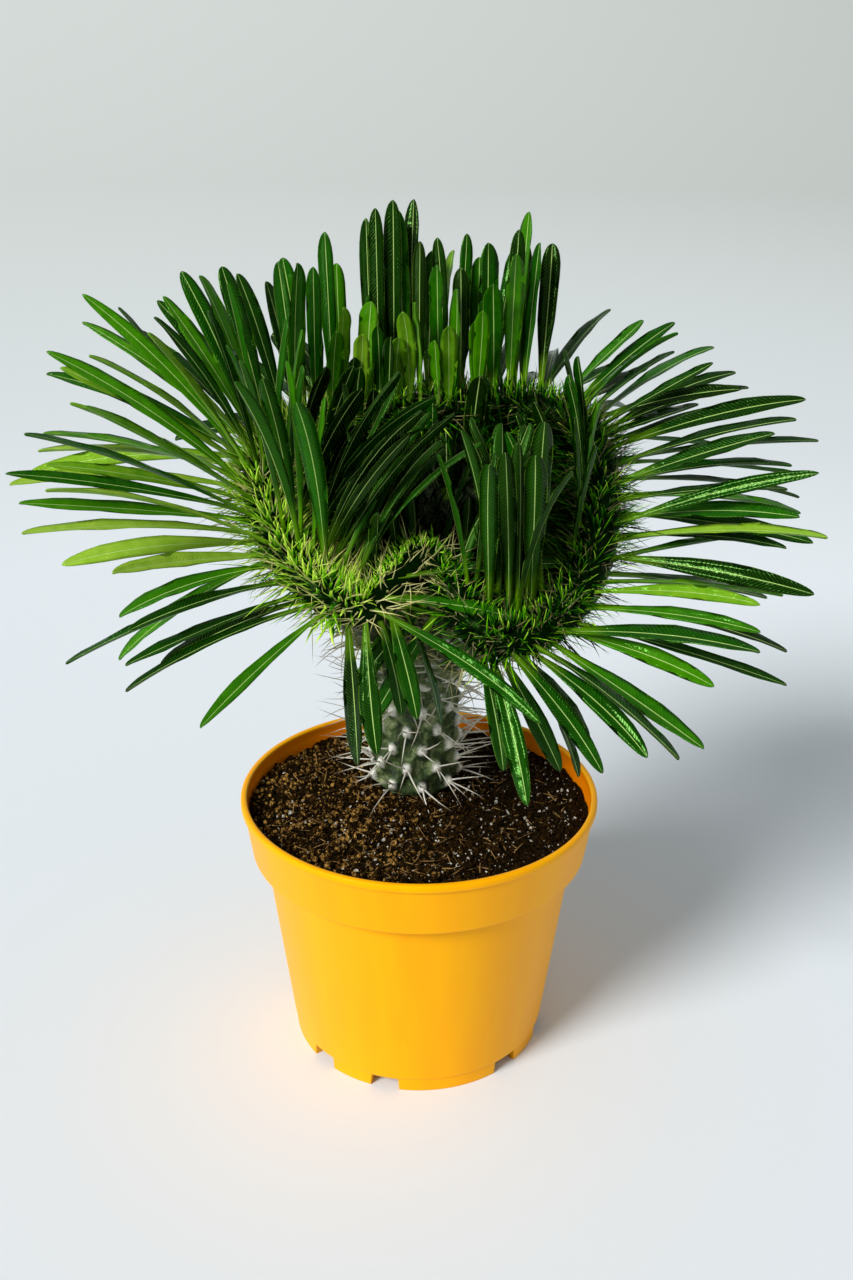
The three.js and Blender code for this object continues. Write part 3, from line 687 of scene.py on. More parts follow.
def barkMaterial():
    # living, water-storing bark: dull grey-green skin mottled with cork, felted white at the
    # points that bear spines, greener and smoother up the crest
    material, surface, add = newMaterial("succulentBark")
    place = add("TexCoord")["Object"]
    blotch, fine = (add("TexNoise", {"Vector": place, "Scale": scale, "Detail": detail,
                                     "Roughness": roughness})["Fac"]
                    for scale, detail, roughness in ((95, 5, 0.65), (650, 4, 0.6)))
    skin = add("ValToRGB", {"Fac": blotch}, stem["skin"])[0]
    level = add("Attribute", attribute_name="level")["Fac"]
    upper = add("MapRange", {"Value": level, "From Min": 0.3, "From Max": 0.9})[0]
    fresh = add("Mix", {0: upper, 6: skin, 7: stem["upperSkin"]}, data_type="RGBA")[2]
    felt = add("Attribute", attribute_name="felt")["Fac"]
    patchy = add("Math", {0: blotch, 1: fine}, operation="ADD")[0]
    uneven = add("Math", {0: felt, 1: patchy}, operation="MULTIPLY")[0]
    woolly = add("MapRange", {"Value": uneven, "From Min": 0.2, "From Max": 0.62})[0]
    setInputs(surface, {
        "Base Color": add("Mix", {0: woolly, 6: fresh, 7: stem["felt"]}, data_type="RGBA")[2],
        "Normal": add("Bump", {"Height": fine, "Strength": 0.7, "Distance": 0.0008})[0],
        "Roughness": 0.72,
    })
    return material


succulentBark = barkMaterial()
makeStem()
print("stem made")


# spines: stiff woody needles, pale on the trunk and straw to brown on the crest; each range
# is a least and a most, and angles are in degrees
spine = {
    "perTubercle": 2,
    "sunk": 2,
    "spread": 40,
    "seed": 771,
    "trunk": {"length": (22, 40), "radius": 0.68, "climb": (-14, 34)},
    "middle": {"length": (18, 36), "radius": (0.5, 0.66), "climb": (-30, 24), "side": (22, 46),
               "wallRows": 4},
    "wall": {"count": 620, "length": (14, 30), "radius": (0.35, 0.55)},
    "ridge": {"count": 2200, "length": (14, 32), "radius": (0.3, 0.46), "over": (-15, 195),
              "sunk": 2, "reach": 12, "astray": (0.18, 15)},
}
spineForm = {"sides": 5, "shares": (0, 0.3, 0.65, 0.9), "taper": (1, 0.82, 0.5, 0.2), "flat": 1}


def lcgDraws(seed, count):
    # numbers from 0 to 1: s becomes (1664525 s + 1013904223) mod 2^32, over 2^32
    state, numbers = seed, []
    for _ in range(count):
        state = (state * 1664525 + 1013904223) % 4294967296
        numbers.append(state / 4294967296)
    return np.array(numbers)


def spineMaterial(name, stops, weatheredAndShade):
    # dry lignified spine: brown at its felted root, pale along its shaft, dark at its point
    material, surface, add = newMaterial(name)
    along, tint = (add("Attribute", attribute_name=label)["Fac"] for label in ("along", "tint"))
    fresh = add("ValToRGB", {"Fac": along}, stops)[0]
    # tint mixes in a weathered colour, which on the ridge's right also stands for painted shade
    setInputs(surface, {
        "Base Color": add("Mix", {0: tint, 6: fresh, 7: weatheredAndShade}, data_type="RGBA")[2],
        "Roughness": 0.48,
    })
    return material


def trunkSpines():
    # two on each tubercle, spread to its left and right
    rows, columns, each = stem["tubercleRows"], stem["tuberclesRound"], spine["perTubercle"]
    drawn = lcgDraws(spine["seed"], rows * columns * each * 3).reshape(-1, 3)
    row, k, i = (grid.ravel() for grid in np.meshgrid(
        np.arange(rows), np.arange(columns), np.arange(each), indexing="ij"))
    z = stem["soilLineZ"] + (row + 0.5) * tuberclePitch
    turn = (k + (row % 2) / 2) / columns * fullTurn
    spread = (i - (each - 1) / 2) * spine["spread"] * (0.7 + 0.6 * drawn[:, 0])
    climb = np.radians(mix(*spine["trunk"]["climb"], drawn[:, 1]))
    reach = stem["radius"] + stem["tubercleHeight"] - spine["sunk"]
    roots = polar(reach, turn, z, stem["x"], trunkAxisY(z))
    draw = np.random.default_rng(spine["seed"])
    bends = draw.normal(size=(len(roots), 3)) * 0.14
    makeStrands("trunkSpines", "crested_stem", paleSpine, spineForm, roots,
                climbing(turn + np.radians(spread), climb),
                mix(*spine["trunk"]["length"], drawn[:, 2]),
                np.full(len(roots), spine["trunk"]["radius"]), bends,
                tint=draw.uniform(0, 0.15, len(roots)))


def middleSpines():
    # the third, middle spine of each tubercle; those on the wall's foot have all three
    plan = spine["middle"]
    rows = stem["tubercleRows"] + plan["wallRows"]
    row, k = (grid.ravel() for grid in np.meshgrid(
        np.arange(rows), np.arange(stem["tuberclesRound"]), indexing="ij"))
    turn = (k + (row % 2) / 2) / stem["tuberclesRound"] * fullTurn
    z = stem["soilLineZ"] + (row + 0.5) * tuberclePitch
    onTrunk = trunkPoint(turn, z, -spine["sunk"])
    share = np.maximum(0, z - stem["trunkTopZ"]) / stem["wallHeight"]
    onWall = wallPoint(turn / fullTurn, share)[0]
    roots = np.where((z < stem["trunkTopZ"])[:, None], onTrunk, onWall)
    draw = np.random.default_rng(spine["seed"] + 3)
    least, most = plan["side"]
    sides = np.concatenate([np.zeros(len(row)), draw.uniform(least, most, len(row)),
                            draw.uniform(-most, -least, len(row))])
    roots, turn, row = np.tile(roots, (3, 1)), np.tile(turn, 3), np.tile(row, 3)
    keep = (sides == 0) | (row >= stem["tubercleRows"])
    count = int(keep.sum())
    ways = climbing((turn + np.radians(sides))[keep],
                    np.radians(draw.uniform(*plan["climb"], count)))
    makeStrands("middleSpines", "crested_stem", paleSpine, spineForm, roots[keep] - ways * 0.5,
                ways, draw.uniform(*plan["length"], count), draw.uniform(*plan["radius"], count),
                draw.normal(size=(count, 3)) * 0.16, tint=draw.uniform(0, 0.2, count))


def wallSpines():
    # at random on the upper wall under the ridge, pointing out of it
    draw = np.random.default_rng(spine["seed"] + 1)
    plan = spine["wall"]
    count = plan["count"]
    column = draw.uniform(0, 1, count)
    share = 0.35 + 0.63 * draw.uniform(0, 1, count) ** 0.7
    roots = wallPoint(column, share)[0]
    out = ridgeAt(column * len(crestLine))[1]
    ways = unit(out + [0, 0, 0.1] + draw.normal(size=(count, 3)) * 0.45)
    lengths = mix(*plan["length"], draw.uniform(0, 1, count))
    makeStrands("wallSpines", "crested_stem", strawSpine, spineForm, roots - ways * 1.5, ways,
                lengths, draw.uniform(*plan["radius"], count),
                draw.normal(size=(count, 3)) * 0.08, tint=draw.uniform(0.0, 0.5, count))


paleSpine = spineMaterial("paleSpine", [
    (0.0, "#C8BE9E"), (0.95, "#6E5234"), (0.15, "#FBF8EC"), (0.6, "#F4EEDA")], "#6E5A3C")
strawSpine = spineMaterial("strawSpine", [
    (0.0, "#A09048"), (0.95, "#5A4218"), (0.15, "#F6F2AC"), (0.6, "#E4DC84")], "#3A3E12")
trunkSpines()
middleSpines()
wallSpines()
print("spines made")


# leaves: the same blades as the model's, drawn finer, and more of them
leaf = {
    "steps": 20,
    "sunk": 2.6,
    "baseShare": 0.26,
    "ways": 8,
    "room": (4, 12),
    "widestFrom": 0.62,
    "tipFrom": 0.84,
    "spreadTipFrom": 0.6,
    "width": (8, 12.5),
    "riseSpread": 10,             # degrees between the least and the most that are drawn
    "rollSpread": 56,
    "twistSpread": 60,
    "swingSpread": 40,
    "lean": 30,
    "light": (-0.45, -0.74, 0.5),
    "seed": 20614,
    "extraSeed": 5151,
    "fillerSeed": 2718,
    "stations": (0, 0.05, 0.12, 0.2, 0.3, 0.4, 0.5, 0.6, 0.7, 0.8, 0.87, 0.92, 0.955, 0.98, 0.995),
    "across": (-1, -0.5, 0, 0.5, 1, 0.5, 0, -0.5),    # five points on top, three underneath
    "under": (0, 0, 0, 0, 0, 1, 1, 1),
    "thickness": 0.42,
    "midrib": 0.9,                # added to the thickness under the middle
    "stalk": 1.1,                 # added to it at the root
}
# fans of leaves, and their fields: how many, how many more are added between them, place on
# crestLine, place over the ridge, rise, bend by the tip, length, turn off the crest's own
# direction, and tone of green, which is partly the leaves' own and partly painted light and
# shade: higher in the lit fans at the left, lower at the right and in the hollow
fanFields = ("count", "extra", "at", "over", "rise", "bend", "length", "turn", "tone", "down",
             "roll")
fans = {
    "left": (16, 0, (5.7, 7.6), (0, 60), (2, 44), (6, 26), (106, 140), (-14, 14), 0.7),
    "upLeft": (5, 1, (5.5, 6.6), (20, 75), (34, 56), (8, 24), (100, 136), (-10, 16), 0.5),
    "lowerLeft": (8, 0, (7.4, 8.7), (-14, 20), (-22, 8), (10, 30), (88, 132), (-52, -4), 0.28),
    "frontLeft": (5, 0, (8.75, 9.5), (-16, 8), (-78, -52), (2, 18), (56, 84), (-20, 40), 0.16),
    "crossing": (5, 1, (8.9, 9.6), (20, 75), (-22, 14), (8, 34), (76, 118), (40, 70), 0.28),
    "frontRight": (6, 0, (10.95, 11.6), (-16, 10), (-60, -34), (6, 24), (64, 90), (36, 72), 0.16),
    "lowerRight": (12, 0, (11.5, 13.2), (-14, 24), (-16, 18), (6, 28), (84, 124), (10, 42), 0.24),
    "right": (20, 0, (13.1, 15.0), (-5, 55), (-8, 30), (4, 24), (94, 127), (-12, 8), 0.2),
    "upperRight": (9, 1, (0.6, 1.9), (20, 80), (12, 46), (4, 20), (56, 92), (-40, -8), 0.2),
    "back": (11, 8, (1.2, 5.4), (0, 50), (2, 60), (28, 56), (57, 73), (-16, 16), 0.2),
    "backLeft": (6, 3, (4.15, 5.2), (60, 120), (74, 92), (0, 12), (72, 104), (-16, 16), 0.3),
    "backTall": (5, 2, (3.35, 3.95), (65, 130), (82, 93), (0, 10), (104, 118), (-20, 20), 0.34),
    "backMid": (7, 3, (2.3, 3.35), (65, 130), (78, 92), (0, 12), (66, 98), (-20, 20), 0.28),
    "backRight": (4, 2, (1.75, 2.3), (65, 130), (78, 92), (0, 12), (74, 108), (-20, 20), 0.26),
    "secondRow": (10, 6, (2.2, 4.6), (135, 175), (86, 100), (6, 30), (42, 76), (-20, 20), 0.52),
    "upperLeft": (7, 2, (5.3, 6.5), (30, 95), (48, 86), (4, 20), (84, 120), (-14, 14), 0.38),
    "innerLeft": (8, 3, (6.2, 8.4), (85, 140), (76, 100), (6, 22), (80, 112), (-20, 20), 0.36),
    "archLeft": (10, 6, (7.2, 9.3), (110, 165), (104, 122), (12, 44), (90, 122), (-80, -30), 0.12),
    "innerRight": (9, 6, (10.4, 12.3), (95, 160), (76, 112), (4, 30), (66, 112), (-34, 34), 0.04),
    "hollowRight": (2, 5, (12.7, 14.6), (140, 175), (88, 104), (4, 22), (60, 84), (-18, 18), 0.06),
}
# leaves that hang over the trunk or rise out of the hollow's wall: the same fields, how far
# down the wall they stand, and degrees that their faces are turned
fillers = {
    "frontCross": (3, 0, (10.1, 10.7), (-16, 8), (-60, -42), (2, 14), (66, 86), (-56, -34), 0.2,
                   (0, 0), -70),
    "hollowBack": (14, 0, (1.8, 4.8), (150, 175), (80, 104), (4, 26), (46, 80), (-35, 35), 0.12,
                   (0.08, 0.5), 0),
    "hollowLeft": (16, 0, (5.2, 9.0), (150, 175), (98, 122), (10, 40), (60, 100), (-70, 10), 0.06,
                   (0.08, 0.5), 0),
    "hollowFront": (8, 0, (9.0, 11.6), (150, 175), (86, 112), (10, 50), (46, 80), (-40, 40), 0.06,
                    (0.08, 0.5), 0),
    "hollowSide": (14, 0, (11.4, 14.8), (150, 175), (86, 108), (4, 30), (56, 92), (-30, 30), 0.05,
                   (0.08, 0.5), 0),
}
fans, fillers = ([dict(zip(fanFields, values)) for values in group.values()]
                 for group in (fans, fillers))
drawnFields = ("lift", "place", "rise", "bend", "length", "turn", "width", "roll", "twist", "swing")


def bladeShare(share, rise):
    # half the blade's width over its widest: a stalk that swells to a strap, and an elliptic
    # tip, short and round on the leaves that stand up and long on those that spread
    tipFrom = mix(leaf["spreadTipFrom"], leaf["tipFrom"], smooth(56, 80, rise))
    swell = mix(leaf["baseShare"], 1, smooth(0, leaf["widestFrom"], share))
    over = np.clip((share - tipFrom) / (1 - tipFrom), 0, 1)
    return swell * np.sqrt(1 - over * over)


def drawLeaves(fan, i, drawn):
    # ways for leaf i of a fan to grow; drawn[:, f] are the numbers for each field in turn
    d = {field: drawn[:, f] for f, field in enumerate(drawnFields)}
    lift = ((i * 0.618) % 1) * 0.8 + 0.2 * d["lift"]
    return {
        "place": mix(*fan["at"], (i + 0.5 + 0.8 * (d["place"] - 0.5)) / fan["count"]),
        "over": mix(*fan["over"], lift),
        "rise": mix(*fan["rise"], lift) + leaf["riseSpread"] * (d["rise"] - 0.5),
        "bend": mix(*fan["bend"], d["bend"]),
        "length": mix(*fan["length"], d["length"]),
        "turn": mix(*fan["turn"], d["turn"]),
        "width": mix(*leaf["width"], d["width"]),
        "roll": leaf["rollSpread"] * (d["roll"] - 0.5),
        "twist": leaf["twistSpread"] * (d["twist"] - 0.5),
        "swing": leaf["swingSpread"] * (d["swing"] - 0.5),
        "down": np.zeros(len(drawn)),
    }


def midribs(plans):
    # each midrib climbs by rise - bend t^1.5 and swings by t^2 in compass, step after step; its
    # face is turned about its way by roll + twist t, and by up to `lean` degrees to the light
    share = np.arange(leaf["steps"] + 1) / leaf["steps"]
    column = {name: np.asarray(values)[:, None] for name, values in plans.items()}
    out = ridgeAt(plans["place"])[1]
    heading = np.degrees(np.arctan2(out[:, 1], out[:, 0]))[:, None] + column["turn"]
    fall = np.where(column["rise"] > 90, -column["bend"], column["bend"])
    climb = np.radians(column["rise"] - fall * share ** 1.5)
    compass = np.radians(heading + column["swing"] * share * share)
    level = np.stack([np.cos(compass), np.sin(compass), 0 * compass], -1)
    up = np.array([0.0, 0, 1])
    forward = level * np.cos(climb)[..., None] + up * np.sin(climb)[..., None]
    face = up * np.cos(climb)[..., None] - level * np.sin(climb)[..., None]
    turned = leaf["lean"] * (np.cross(forward[:, 0], face[:, 0]) @ np.array(leaf["light"]))
    roll = np.radians(column["roll"] + turned[:, None] + column["twist"] * share)[..., None]
    face = face * np.cos(roll) + np.cross(forward, face) * np.sin(roll)
    root = overRidge(plans["place"], plans["over"], crest["halfWidth"] - leaf["sunk"])
    onWall = hollowPoint(plans["place"], plans["down"]) + out * leaf["sunk"]
    root = np.where(plans["down"][:, None] > 0, onWall, root)
    stride = (np.asarray(plans["length"]) / leaf["steps"])[:, None, None]
    steps = np.concatenate([np.zeros((len(out), 1, 3)), np.cumsum(forward[:, :-1], 1)], 1) * stride
    return root[:, None] + steps, forward, face


def leastCrowded(ways, grown):
    # the way whose midrib has the most room to those before it, and the midribs with it added
    room = mix(*leaf["room"], np.arange(leaf["steps"] + 1) / leaf["steps"])[None, :, None]
    points = midribs(ways)[0]
    apart = np.linalg.norm(points[:, :, None] - grown[None, None], axis=-1)
    best = int(np.argmin(np.maximum(0, 1 - apart / room).sum((1, 2))))
    return best, np.concatenate([grown, points[best]])


def gathered(chosen):
    # a list of plans, as one array for each of their fields
    return {name: np.array([plan[name] for plan in chosen]) for name in chosen[0]}


def planLeaves(which, seed, grown):
    # each leaf takes, of its eight ways to grow, the one that least crowds those before it;
    # the extra leaves of a fan also draw their place in it
    draws = len(drawnFields) + (which == "extra")
    numbers = lcgDraws(seed, draws * leaf["ways"] * sum(fan[which] for fan in fans))
    numbers = numbers.reshape(-1, leaf["ways"], draws)
    chosen = []
    for fan in fans:
        for i in range(fan[which]):
            drawn = numbers[len(chosen)]
            at = drawn[:, -1] * (fan["count"] - 1) if which == "extra" else i
            ways = drawLeaves(fan, at, drawn)
            best, grown = leastCrowded(ways, grown)
            chosen.append({name: way[best] for name, way in ways.items()} | {"tone": fan["tone"]})
    return gathered(chosen), grown


def planFillers():
    # the leaves of the hollow's wall, each as it is first drawn
    draws = len(drawnFields) + 1
    numbers = lcgDraws(leaf["fillerSeed"], draws * sum(fan["count"] for fan in fillers))
    numbers = numbers.reshape(-1, draws)
    chosen = []
    for fan in fillers:
        for i in range(fan["count"]):
            drawn = numbers[len(chosen)]
            way = {name: way[0] for name, way in drawLeaves(fan, i, drawn[None]).items()}
            chosen.append(way | {"tone": fan["tone"], "down": mix(*fan["down"], drawn[-1]),
                                 "roll": way["roll"] + fan["roll"]})
    return gathered(chosen)


def makeLeaves(name, plans, seed):
    # the blade's section is a channel, z = h (0.3 |u|^1.2 - 0.04), with a keel under the midrib,
    # and its margins wave a little
    draw = np.random.default_rng(seed)
    points, forward, face = midribs(plans)
    count, stations, sides = len(points), len(leaf["stations"]), len(leaf["across"])
    at = np.array(leaf["stations"]) * leaf["steps"]
    i = np.minimum(at.astype(int), leaf["steps"] - 1)
    between = (at - i)[None, :, None]
    middle = mix(points[:, i], points[:, i + 1], between)
    way, up = (unit(mix(lines[:, i], lines[:, i + 1], between)) for lines in (forward, face))
    side = np.cross(way, up)
    share = np.array(leaf["stations"])[None, :, None]
    half = (plans["width"] / 2)[:, None, None] * bladeShare(share, plans["rise"][:, None, None])
    across = np.array(leaf["across"])[None, None, :]
    under = np.array(leaf["under"])[None, None, :]
    pace = draw.uniform(14, 26, (count, 1, 1))
    wave = 0.5 * np.sin(share * pace + draw.uniform(0, 6, (count, 1, 1)))
    wave = wave * across * np.abs(across) * smooth(0.2, 0.5, share) * (1 - smooth(0.85, 1, share))
    thickness = (leaf["thickness"] + leaf["midrib"] * np.exp(-(across / 0.2) ** 2)
                 + leaf["stalk"] * (1 - smooth(0, 0.2, share)))
    height = half * (0.3 * np.abs(across) ** 1.2 - 0.04) + wave - under * thickness
    width = half * across * (1 - 0.12 * under)
    sections = (middle[:, :, None] + width[..., None] * side[:, :, None]
                + height[..., None] * up[:, :, None])
    tips = points[:, -1] + 0.3 * forward[:, -1] - 0.5 * up[:, -1]

    def spread(values, atRoot, atTip):
        # a value for each point of the rings, and one for each end of every blade
        rings = np.broadcast_to(values, (count, stations, sides)).reshape(count, -1)
        return np.concatenate([rings, np.tile([[atRoot, atTip]], (count, 1))], 1).ravel()

    odd = draw.uniform(0, 1, count)
    varied = draw.normal(0, 0.13, count) * (1 + plans["tone"])
    tone = np.clip(plans["tone"] + varied + np.where(odd > 0.92, 0.35, 0), 0, 0.88)
    makePiece(name, "crest_foliage", waxedLeaf, *closedSkins(sections, middle[:, 0], tips),
              uv=np.stack([spread((across + 1) / 2, 0.5, 0.5), spread(share, 0, 1)], -1),
              tone=perVertex(tone, stations, sides), below=spread(under, 0.5, 0.5))


leafSkin = {
    "greens": [(0.0, "#000D00"), (1.0, "#AAC848"), (0.18, "#022C00"), (0.36, "#0A4C00"),
               (0.6, "#3C8000"), (0.8, "#80AC22")],
    "underside": "#2E6808",
    "undersideShare": 0.2,
    "vein": "#6AA41C",
    "veinShare": 0.12,
    "veins": 46,                  # along a blade, about 2.4 mm apart
    "stalk": "#75A806",
    "midrib": "#BCE07C",
    "margin": "#86BC3C",
    "shine": "#A4F078",
    "roughness": (0.11, 0.42),    # above and below
}


def leafMaterial():
    # living leaf with a waxy cuticle: glossy above, duller and paler below, a pale midrib and
    # margin, a yellow-green stalk, and cross veins pressed in a little
    material, surface, add = newMaterial("waxedLeaf")
    place = add("TexCoord")["Object"]
    split = add("SeparateXYZ", {0: add("UVMap", uv_map="surfaceMap")[0]})
    centred = add("Math", {0: split["X"], 1: 0.5}, operation="SUBTRACT")[0]
    apart = add("Math", {0: centred}, operation="ABSOLUTE")[0]
    tone, below = (add("Attribute", attribute_name=label)["Fac"] for label in ("tone", "below"))
    mottle = add("TexNoise", {"Vector": place, "Scale": 160, "Detail": 4})["Fac"]     # 6 mm
    shifted = add("Math", {0: mottle, 1: 0.22, 2: tone}, operation="MULTIPLY_ADD")[0]
    shade = add("Math", {0: shifted, 1: 0.11}, operation="SUBTRACT")[0]
    colour = add("ValToRGB", {"Fac": shade}, leafSkin["greens"])[0]
    # cross veins: sin of the share along the blade, slanted and led astray a little
    astray = add("Math", {0: mottle, 1: 0.03, 2: split["Y"]}, operation="MULTIPLY_ADD")[0]
    slant = add("Math", {0: apart, 1: 0.11, 2: astray}, operation="MULTIPLY_ADD")[0]
    phase = add("Math", {0: slant, 1: leafSkin["veins"] * fullTurn}, operation="MULTIPLY")[0]
    wave = add("Math", {0: phase}, operation="SINE")[0]
    vein = add("MapRange", {"Value": wave, "From Min": 0.55, "From Max": 1.0})[0]
    dull = add("Math", {0: below, 1: leafSkin["undersideShare"]}, operation="MULTIPLY")[0]
    faint = add("Math", {0: vein, 1: leafSkin["veinShare"]}, operation="MULTIPLY")[0]
    stalk, midrib, margin = (
        add("MapRange", {"Value": value, "From Min": start, "From Max": end,
                         "To Min": atStart, "To Max": atEnd})[0]
        for value, start, end, atStart, atEnd in (
            (split["Y"], 0.04, 0.3, 0.7, 0.0), (apart, 0.012, 0.034, 0.8, 0.0),
            (apart, 0.455, 0.5, 0.0, 0.5)))
    for share, part in ((dull, "underside"), (faint, "vein"), (stalk, "stalk"),
                        (midrib, "midrib"), (margin, "margin")):
        colour = add("Mix", {0: share, 6: colour, 7: leafSkin[part]}, data_type="RGBA")[2]
    swells = add("TexNoise", {"Vector": place, "Scale": 55, "Detail": 2})["Fac"]      # 18 mm
    relief = mottle
    for value, height in ((swells, 3.0), (midrib, -1.2), (vein, -0.25)):
        relief = add("Math", {0: value, 1: height, 2: relief}, operation="MULTIPLY_ADD")[0]
    smoothest, roughest = leafSkin["roughness"]
    setInputs(surface, {
        "Base Color": colour,
        "Roughness": add("MapRange", {"Value": below, "To Min": smoothest,
                                      "To Max": roughest})[0],
        "Normal": add("Bump", {"Height": relief, "Strength": 0.6, "Distance": 0.0007})[0],
        "IOR": 1.45,
        "Specular IOR Level": 0.48,
        "Specular Tint": leafSkin["shine"],
    })
    return material


waxedLeaf = leafMaterial()
leafPlans, modelMidribs = planLeaves("count", leaf["seed"], np.zeros((0, 3)))
print("leaves planned")
makeLeaves("crestLeaves", leafPlans, 61)
makeLeaves("fillingLeaves", planLeaves("extra", leaf["extraSeed"], modelMidribs)[0], 62)
makeLeaves("hollowLeaves", planFillers(), 63)
print("leaves made")


# the growing line: the green band over the ridge, its young leaves and its spines
youngLeaf = {
    "count": 5600,
    "over": (-22, 202),
    "length": (8, 34),            # on the ridge's top and down its sides
    "halfWidth": (0.42, 1.0),
    "sunk": 2.5,
    "reach": 14,
    "astray": (0.07, 9),          # along crestLine, and in degrees over the ridge
    "notch": 9.7,                 # place of the front fold, where few grow
    "inHollow": 3000,
    "hollowDepth": 0.6,
    "hollowLength": (8, 24),
    "seed": 905,
    "bandColumns": 560,
    "bandRows": 26,
    "greens": [(0.1, "#011400"), (1.0, "#D8FC58"), (0.4, "#2A7C00"), (0.7, "#7CCC08")],
    "shine": "#A4F078",
}
youngForm = {"sides": 4, "shares": (0, 0.4, 0.8), "taper": (0.8, 1, 0.6), "flat": 0.4}


def makeBand():
    # a closed ring: a round cap over the ridge, pinched by ripples of 6 mm, and its inner face
    columns, outerRows = youngLeaf["bandColumns"], youngLeaf["bandRows"]
    outer = np.linspace(crest["capFrom"] - 4, crest["capTo"] + 4, outerRows)
    degrees = np.concatenate([outer, outer[::-1]])
    radii = np.repeat([crest["halfWidth"] - 0.4, crest["halfWidth"] - crest["capThickness"] - 0.1],
                      outerRows)
    place = (np.arange(columns) / columns * len(crestLine))[:, None]
    ring = overRidge(place, degrees, radii)
    away = unit(ring - linePoint(place / len(crestLine)))
    onTop = np.arange(len(degrees)) < outerRows
    ring = ring + away * (ripple(ring, 6, 21) * 0.5 * onTop)[..., None]
    # a tone of 0 gives the darkest green: painted shade beneath the young leaves
    makePiece("growingBand", "crest_foliage", youngTissue, ring.reshape(-1, 3),
              gridFaces(columns, len(degrees), loopRows=True)[:, ::-1],
              tone=np.zeros(columns * len(degrees)))


def standOnRidge(draw, place, over, plan):
    # roots sunk in the ridge, and ways away from it, to a point at `reach` from it that is drawn
    # a little astray along the ridge and over it
    root = overRidge(place, over, crest["halfWidth"] - plan["sunk"])
    along, across = (draw.normal(0, astray, len(place)) for astray in plan["astray"])
    aim = overRidge(place + along, over + across, crest["halfWidth"] + plan["reach"])
    return root, unit(aim - root)


def makeYoungLeaves():
    # short and upright on the ridge's top, longer down its sides, each a flat strand of four sides
    draw = np.random.default_rng(youngLeaf["seed"])
    count = youngLeaf["count"]
    place = draw.uniform(0, len(crestLine), count)
    over = mix(*youngLeaf["over"], draw.uniform(0, 1, count))
    inNotch = 1 - smooth(0.5, 1, np.abs(place - youngLeaf["notch"]))
    over = mix(over, np.maximum(over, 70 + over / 4), inNotch)
    root, ways = standOnRidge(draw, place, over, youngLeaf)
    sideways = np.abs(over - 90) / 108
    lengths = mix(*youngLeaf["length"], sideways ** 1.1 * draw.uniform(0.3, 1, count)) + 2.5
    lengths *= np.where(draw.uniform(0, 1, count) > 0.93, 1.45, 1)
    lengths *= mix(0.72, 1, smooth(0, 50, over)) * (1 - 0.45 * inNotch)
    half = mix(*youngLeaf["halfWidth"], draw.uniform(0, 1, count))
    half *= 1 - 0.3 * smooth(0, 70, root[:, 0])
    bends = draw.normal(size=(count, 3)) * 0.12
    odd = np.where(draw.uniform(0, 1, count) > 0.88, 0.4, 0)
    # painted shade: the tone falls at the right and on the ridge's inner side, away from the light
    tone = (draw.normal(0.74, 0.28, count) - 0.15 * sideways
            - 0.54 * smooth(-50, 50, root[:, 0]) - 0.2 * smooth(95, 150, over) + odd)
    makeStrands("youngLeaves", "crest_foliage", youngTissue, youngForm, root, ways, lengths,
                half, bends, tone=np.clip(tone, 0, 1))


def makeHollowTufts():
    # the same young leaves over the upper part of the hollow's wall, dark as painted shade
    draw = np.random.default_rng(youngLeaf["seed"] + 2)
    count = youngLeaf["inHollow"]
    place = draw.uniform(0, len(crestLine), count)
    down = 0.02 + youngLeaf["hollowDepth"] * draw.uniform(0, 1, count) ** 1.4
    out = ridgeAt(place)[1]
    root = hollowPoint(place, down) + out * 0.8
    ways = unit([0, 0, 0.75] - out * 0.8 + draw.normal(size=(count, 3)) * 0.4)
    makeStrands("hollowTufts", "crest_foliage", youngTissue, youngForm, root, ways,
                mix(*youngLeaf["hollowLength"], draw.uniform(0, 1, count)),
                mix(*youngLeaf["halfWidth"], draw.uniform(0, 1, count)),
                draw.normal(size=(count, 3)) * 0.12,
                tone=np.clip(draw.normal(0.2, 0.12, count), 0, 1), along=np.zeros(count))


def ridgeSpines():
    # straw and brown spines all over the band, among the young leaves, short at the right and
    # darker there as painted shade
    draw = np.random.default_rng(youngLeaf["seed"] + 1)
    plan = spine["ridge"]
    count = plan["count"]
    place = draw.uniform(0, len(crestLine), count)
    over = draw.uniform(*plan["over"], count)
    root, ways = standOnRidge(draw, place, over, plan)
    toRight = smooth(-30, 60, root[:, 0])
    lengths = mix(*plan["length"], draw.uniform(0, 1, count))
    lengths *= mix(0.6, 1, np.abs(over - 90) / 105)
    lengths *= np.where(draw.uniform(0, 1, count) < 0.6 * toRight, 0.3, 1.12 - 0.2 * toRight)
    makeStrands("ridgeSpines", "crested_stem", strawSpine, spineForm, root, ways, lengths,
                draw.uniform(*plan["radius"], count), draw.normal(size=(count, 3)) * 0.08,
                tint=draw.uniform(0, 0.28, count) + 0.62 * toRight)


